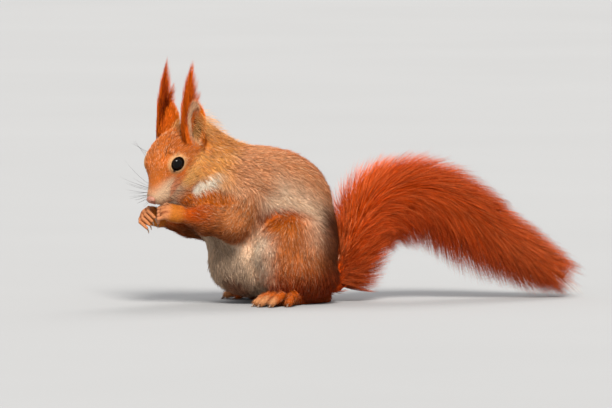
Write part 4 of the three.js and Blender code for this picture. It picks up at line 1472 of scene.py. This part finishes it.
def add_claw(name, tip, aim, down, length, radius, material):
    """A hooked claw that grows out of a digit's end."""
    start = tip - aim * length * 0.22
    bend = tip + aim * length * 0.62 + down * length * 0.02
    end = tip + aim * length * 0.88 + down * length * 0.5
    path = bent(start[None], bend[None], end[None], 12)[0]
    path[:, 2] = np.maximum(path[:, 2], 0.3)
    t = np.linspace(0, 1, len(path))
    radii = radius * np.sqrt(np.clip(1 - t**1.6, 0, 1)) * (0.55 + 0.45 * np.minimum(t * 6, 1))
    points, faces = tube(path, radii, np.cross(aim, down))
    place = np.clip(((points - start) @ unit(end - start)) / length, 0, 1)
    points[:, 2] = np.maximum(points[:, 2], CLAW_LOWEST)
    obj = add_mesh(f"{name}_horn", points, faces, {"along_hair": place}, material)
    finish_piece(obj, "claw", name)


def add_claws(material):
    for side, y in SIDES.items():
        *_, across = hand_axes(side)
        for i, (_, _, bend, tip) in enumerate(finger_points(side), start=1):
            name = f"finger_claw_{side}_{i}"
            add_claw(name, tip, unit(tip - bend), -across, *FINGER["claw"], material)
        for i, (root, _, _, tip) in enumerate(toe_points(y), start=1):
            aim = unit((tip - root) * (1, 1, 0)) * 0.96 + vec(0, 0, -0.28)
            add_claw(f"toe_claw_{side}_{i}", tip, aim, vec(0, 0, -1), *TOE["claw"], material)


# ---------------------------------------------------------------- materials


class Nodes:
    """A material's node tree, with short ways to add and join nodes."""

    def __init__(self, name):
        self.material = bpy.data.materials.new(name)
        self.material.use_nodes = True
        self.tree = self.material.node_tree
        self.shader = self.tree.nodes["Principled BSDF"]

    def add(self, kind, **settings):
        node = self.tree.nodes.new(kind)
        for key, value in settings.items():
            setattr(node, key, value)
        return node

    def join(self, output, target):
        self.tree.links.new(output, target)

    def attribute(self, name, output="Fac"):
        return self.add("ShaderNodeAttribute", attribute_name=name).outputs[output]

    def ramp(self, fac, *steps):
        """A colour ramp from (place, grey or rgb) steps."""
        node = self.add("ShaderNodeValToRGB")
        elements = node.color_ramp.elements
        while len(elements) < len(steps):
            elements.new(1.0)
        for element, (place, value) in zip(elements, steps):
            element.position = place
            rgb = (value,) * 3 if np.isscalar(value) else tuple(value)
            element.color = (*rgb, 1)
        self.join(fac, node.inputs["Fac"])
        return node.outputs["Color"]

    def noise(self, scale, detail=2.0):
        node = self.add("ShaderNodeTexNoise")
        node.inputs["Scale"].default_value = scale
        node.inputs["Detail"].default_value = detail
        self.join(self.add("ShaderNodeTexCoord").outputs["Object"], node.inputs["Vector"])
        return node.outputs["Fac"]

    def times(self, a, b):
        node = self.add("ShaderNodeMix", data_type="RGBA", blend_type="MULTIPLY")
        node.inputs["Factor"].default_value = 1.0
        self.join(a, node.inputs["A"])
        self.join(b, node.inputs["B"])
        return node.outputs["Result"]

    def bump(self, height, distance, strength=1.0):
        node = self.add("ShaderNodeBump")
        node.inputs["Distance"].default_value = distance
        node.inputs["Strength"].default_value = strength
        self.join(height, node.inputs["Height"])
        self.join(node.outputs["Normal"], self.shader.inputs["Normal"])

    def finish(self, colour, **values):
        """Joins the base colour, sets the shader's other inputs and hands over the material."""
        self.join(colour, self.shader.inputs["Base Color"])
        for key, value in values.items():
            self.shader.inputs[key.replace("_", " ")].default_value = value
        return self.material


def coat_material(name, root_shade, tip_shade):
    """Hair: its marking colour, darker at the root and lighter at the tip, with each hair's own tone."""
    m = Nodes(name)
    shade = m.ramp(m.attribute("along_hair"), (0.0, root_shade), (0.55, 0.95), (1.0, tip_shade))
    toned = m.times(m.attribute("coat_colour", "Color"), m.attribute("coat_tone"))
    patchy = m.ramp(m.noise(260.0), (0.3, 0.9), (0.7, 1.0))
    return m.finish(m.times(m.times(toned, shade), patchy), Roughness=0.6, Specular_IOR_Level=0.08)


def skin_material():
    """Skin and close underfur in the coat's own markings, with fine fur-like bump."""
    m = Nodes("skin")
    fine = m.noise(1500.0, 3.0)
    shade = m.ramp(fine, (0.25, 0.5), (0.75, 0.85))
    m.bump(fine, 0.0004, 0.6)
    colour = m.times(m.attribute("coat_colour", "Color"), shade)
    return m.finish(colour, Roughness=0.7, Specular_IOR_Level=0.1)


def eye_material():
    """Black-brown eye: a darker pupil in a very dark iris under a wet surface."""
    m = Nodes("eye_wet")
    scaled = m.add("ShaderNodeMath", operation="DIVIDE")
    m.join(m.attribute("off_axis"), scaled.inputs[0])
    scaled.inputs[1].default_value = 90.0
    pupil, iris, rim = (0.002, 0.0015, 0.0015), (0.010, 0.005, 0.003), (0.004, 0.002, 0.002)
    colour = m.ramp(scaled.outputs[0], (0.30, pupil), (0.42, iris), (0.75, rim))
    return m.finish(colour, Roughness=0.08, Specular_IOR_Level=0.15)


def nose_material():
    m = Nodes("nose_skin")
    tint = m.ramp(m.noise(1800.0, 3.0), (0.3, linear(140, 88, 70)), (0.7, linear(186, 126, 100)))
    m.bump(m.noise(2600.0), 0.0002)
    return m.finish(tint, Roughness=0.42)


def claw_material():
    """Horn that is dark at its root and clears towards the tip."""
    m = Nodes("claw_horn")
    tint = m.ramp(m.attribute("along_hair"), (0.1, linear(52, 36, 28)), (0.9, linear(132, 104, 84)))
    patchy = m.ramp(m.noise(900.0), (0.3, 0.85), (0.7, 1.0))
    return m.finish(m.times(tint, patchy), Roughness=0.32, Specular_IOR_Level=0.5)


def floor_material():
    m = Nodes("pale_floor")
    return m.finish(m.ramp(m.noise(3.0), (0.3, 0.34), (0.7, 0.35)), Roughness=0.9, Specular_IOR_Level=0.1)


# ---------------------------------------------------------------- stage, light and camera


def add_floor():
    mesh = bpy.data.meshes.new("floor")
    corners = [(x * FLOOR_SIZE, y * FLOOR_SIZE, 0) for x, y in ((-1, -1), (1, -1), (1, 1), (-1, 1))]
    mesh.from_pydata(corners, [], [(0, 1, 2, 3)])
    mesh.materials.append(floor_material())
    add_object("floor", mesh)


def way_to(azimuth, elevation):
    """The way to a place seen from the origin: azimuth 0 is -Y and 90 is +X, in degrees."""
    a, e = math.radians(azimuth), math.radians(elevation)
    return vec(math.sin(a) * math.cos(e), -math.cos(a) * math.cos(e), math.sin(e))


def aimed_back(direction):
    """The turn of a lamp or a camera that stands in a direction and looks back."""
    return Vector(-direction).to_track_quat("-Z", "Y").to_euler()


def add_light(name, azimuth, elevation, strength, angle, tint):
    """A far soft light, `angle` degrees wide."""
    data = bpy.data.lights.new(name, "SUN")
    data.energy = strength
    data.angle = math.radians(angle)
    data.color = tint
    add_object(name, data).rotation_euler = aimed_back(way_to(azimuth, elevation))


def add_world():
    world = bpy.data.worlds.new("pale_world")
    world.use_nodes = True
    background = world.node_tree.nodes["Background"]
    background.inputs["Color"].default_value = SKY["colour"]
    background.inputs["Strength"].default_value = SKY["strength"]
    bpy.context.scene.world = world


def add_camera():
    """The camera stands in front of the squirrel's left side, just above floor level."""
    back = way_to(CAMERA["azimuth"], CAMERA["elevation"])
    a = math.radians(CAMERA["azimuth"])
    right = vec(math.cos(a), math.sin(a), 0)
    aim_right, aim_up = CAMERA["aim"]
    target = right * aim_right + np.cross(back, right) * aim_up
    data = bpy.data.cameras.new("camera")
    data.sensor_width = 36
    data.lens = data.sensor_width * CAMERA["distance"] / CAMERA["field"]
    data.clip_start, data.clip_end = 0.05, 200
    camera = add_object("camera", data)
    camera.location = Vector(to_row(target + back * CAMERA["distance"]))
    camera.rotation_euler = aimed_back(back)
    bpy.context.scene.camera = camera


# ---------------------------------------------------------------- assembly


def flesh_nodes():
    """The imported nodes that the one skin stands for."""
    separate = ("eye_", "toe_claw_", "finger_claw_", "ear_tuft_", "nose")
    return [name for name in sorted(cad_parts) if not name.startswith(separate)]


def build():
    add_camera()
    add_world()
    bpy.context.scene.view_settings.view_transform = "Standard"
    for light in LIGHTS:
        add_light(*light)
    add_floor()

    points, quads = make_skin()
    colour, _ = marking(points)
    skin = add_mesh("skin", points, quads, {"coat_colour": colour}, skin_material())
    finish_piece(skin, "orange_fur", *flesh_nodes())
    print(f"skin: {len(points)} points, {len(quads) * 2} triangles")

    short_hair = coat_material("short_coat", root_shade=0.5, tip_shade=1.15)
    long_hair = coat_material("long_coat", root_shade=0.7, tip_shade=1.3)
    grow_coat(points, quads, short_hair)
    grow_nape_fuzz(points, quads, short_hair)
    grow_tail(long_hair)
    for side in SIDES:
        grow_ear_tuft(side, long_hair)
        grow_ear_lining(side, long_hair)
    grow_whiskers(long_hair)
    grow_wisps(long_hair)

    wet = eye_material()
    for side in SIDES:
        add_eye(side, wet)
    add_nose(nose_material())
    add_claws(claw_material())


build()
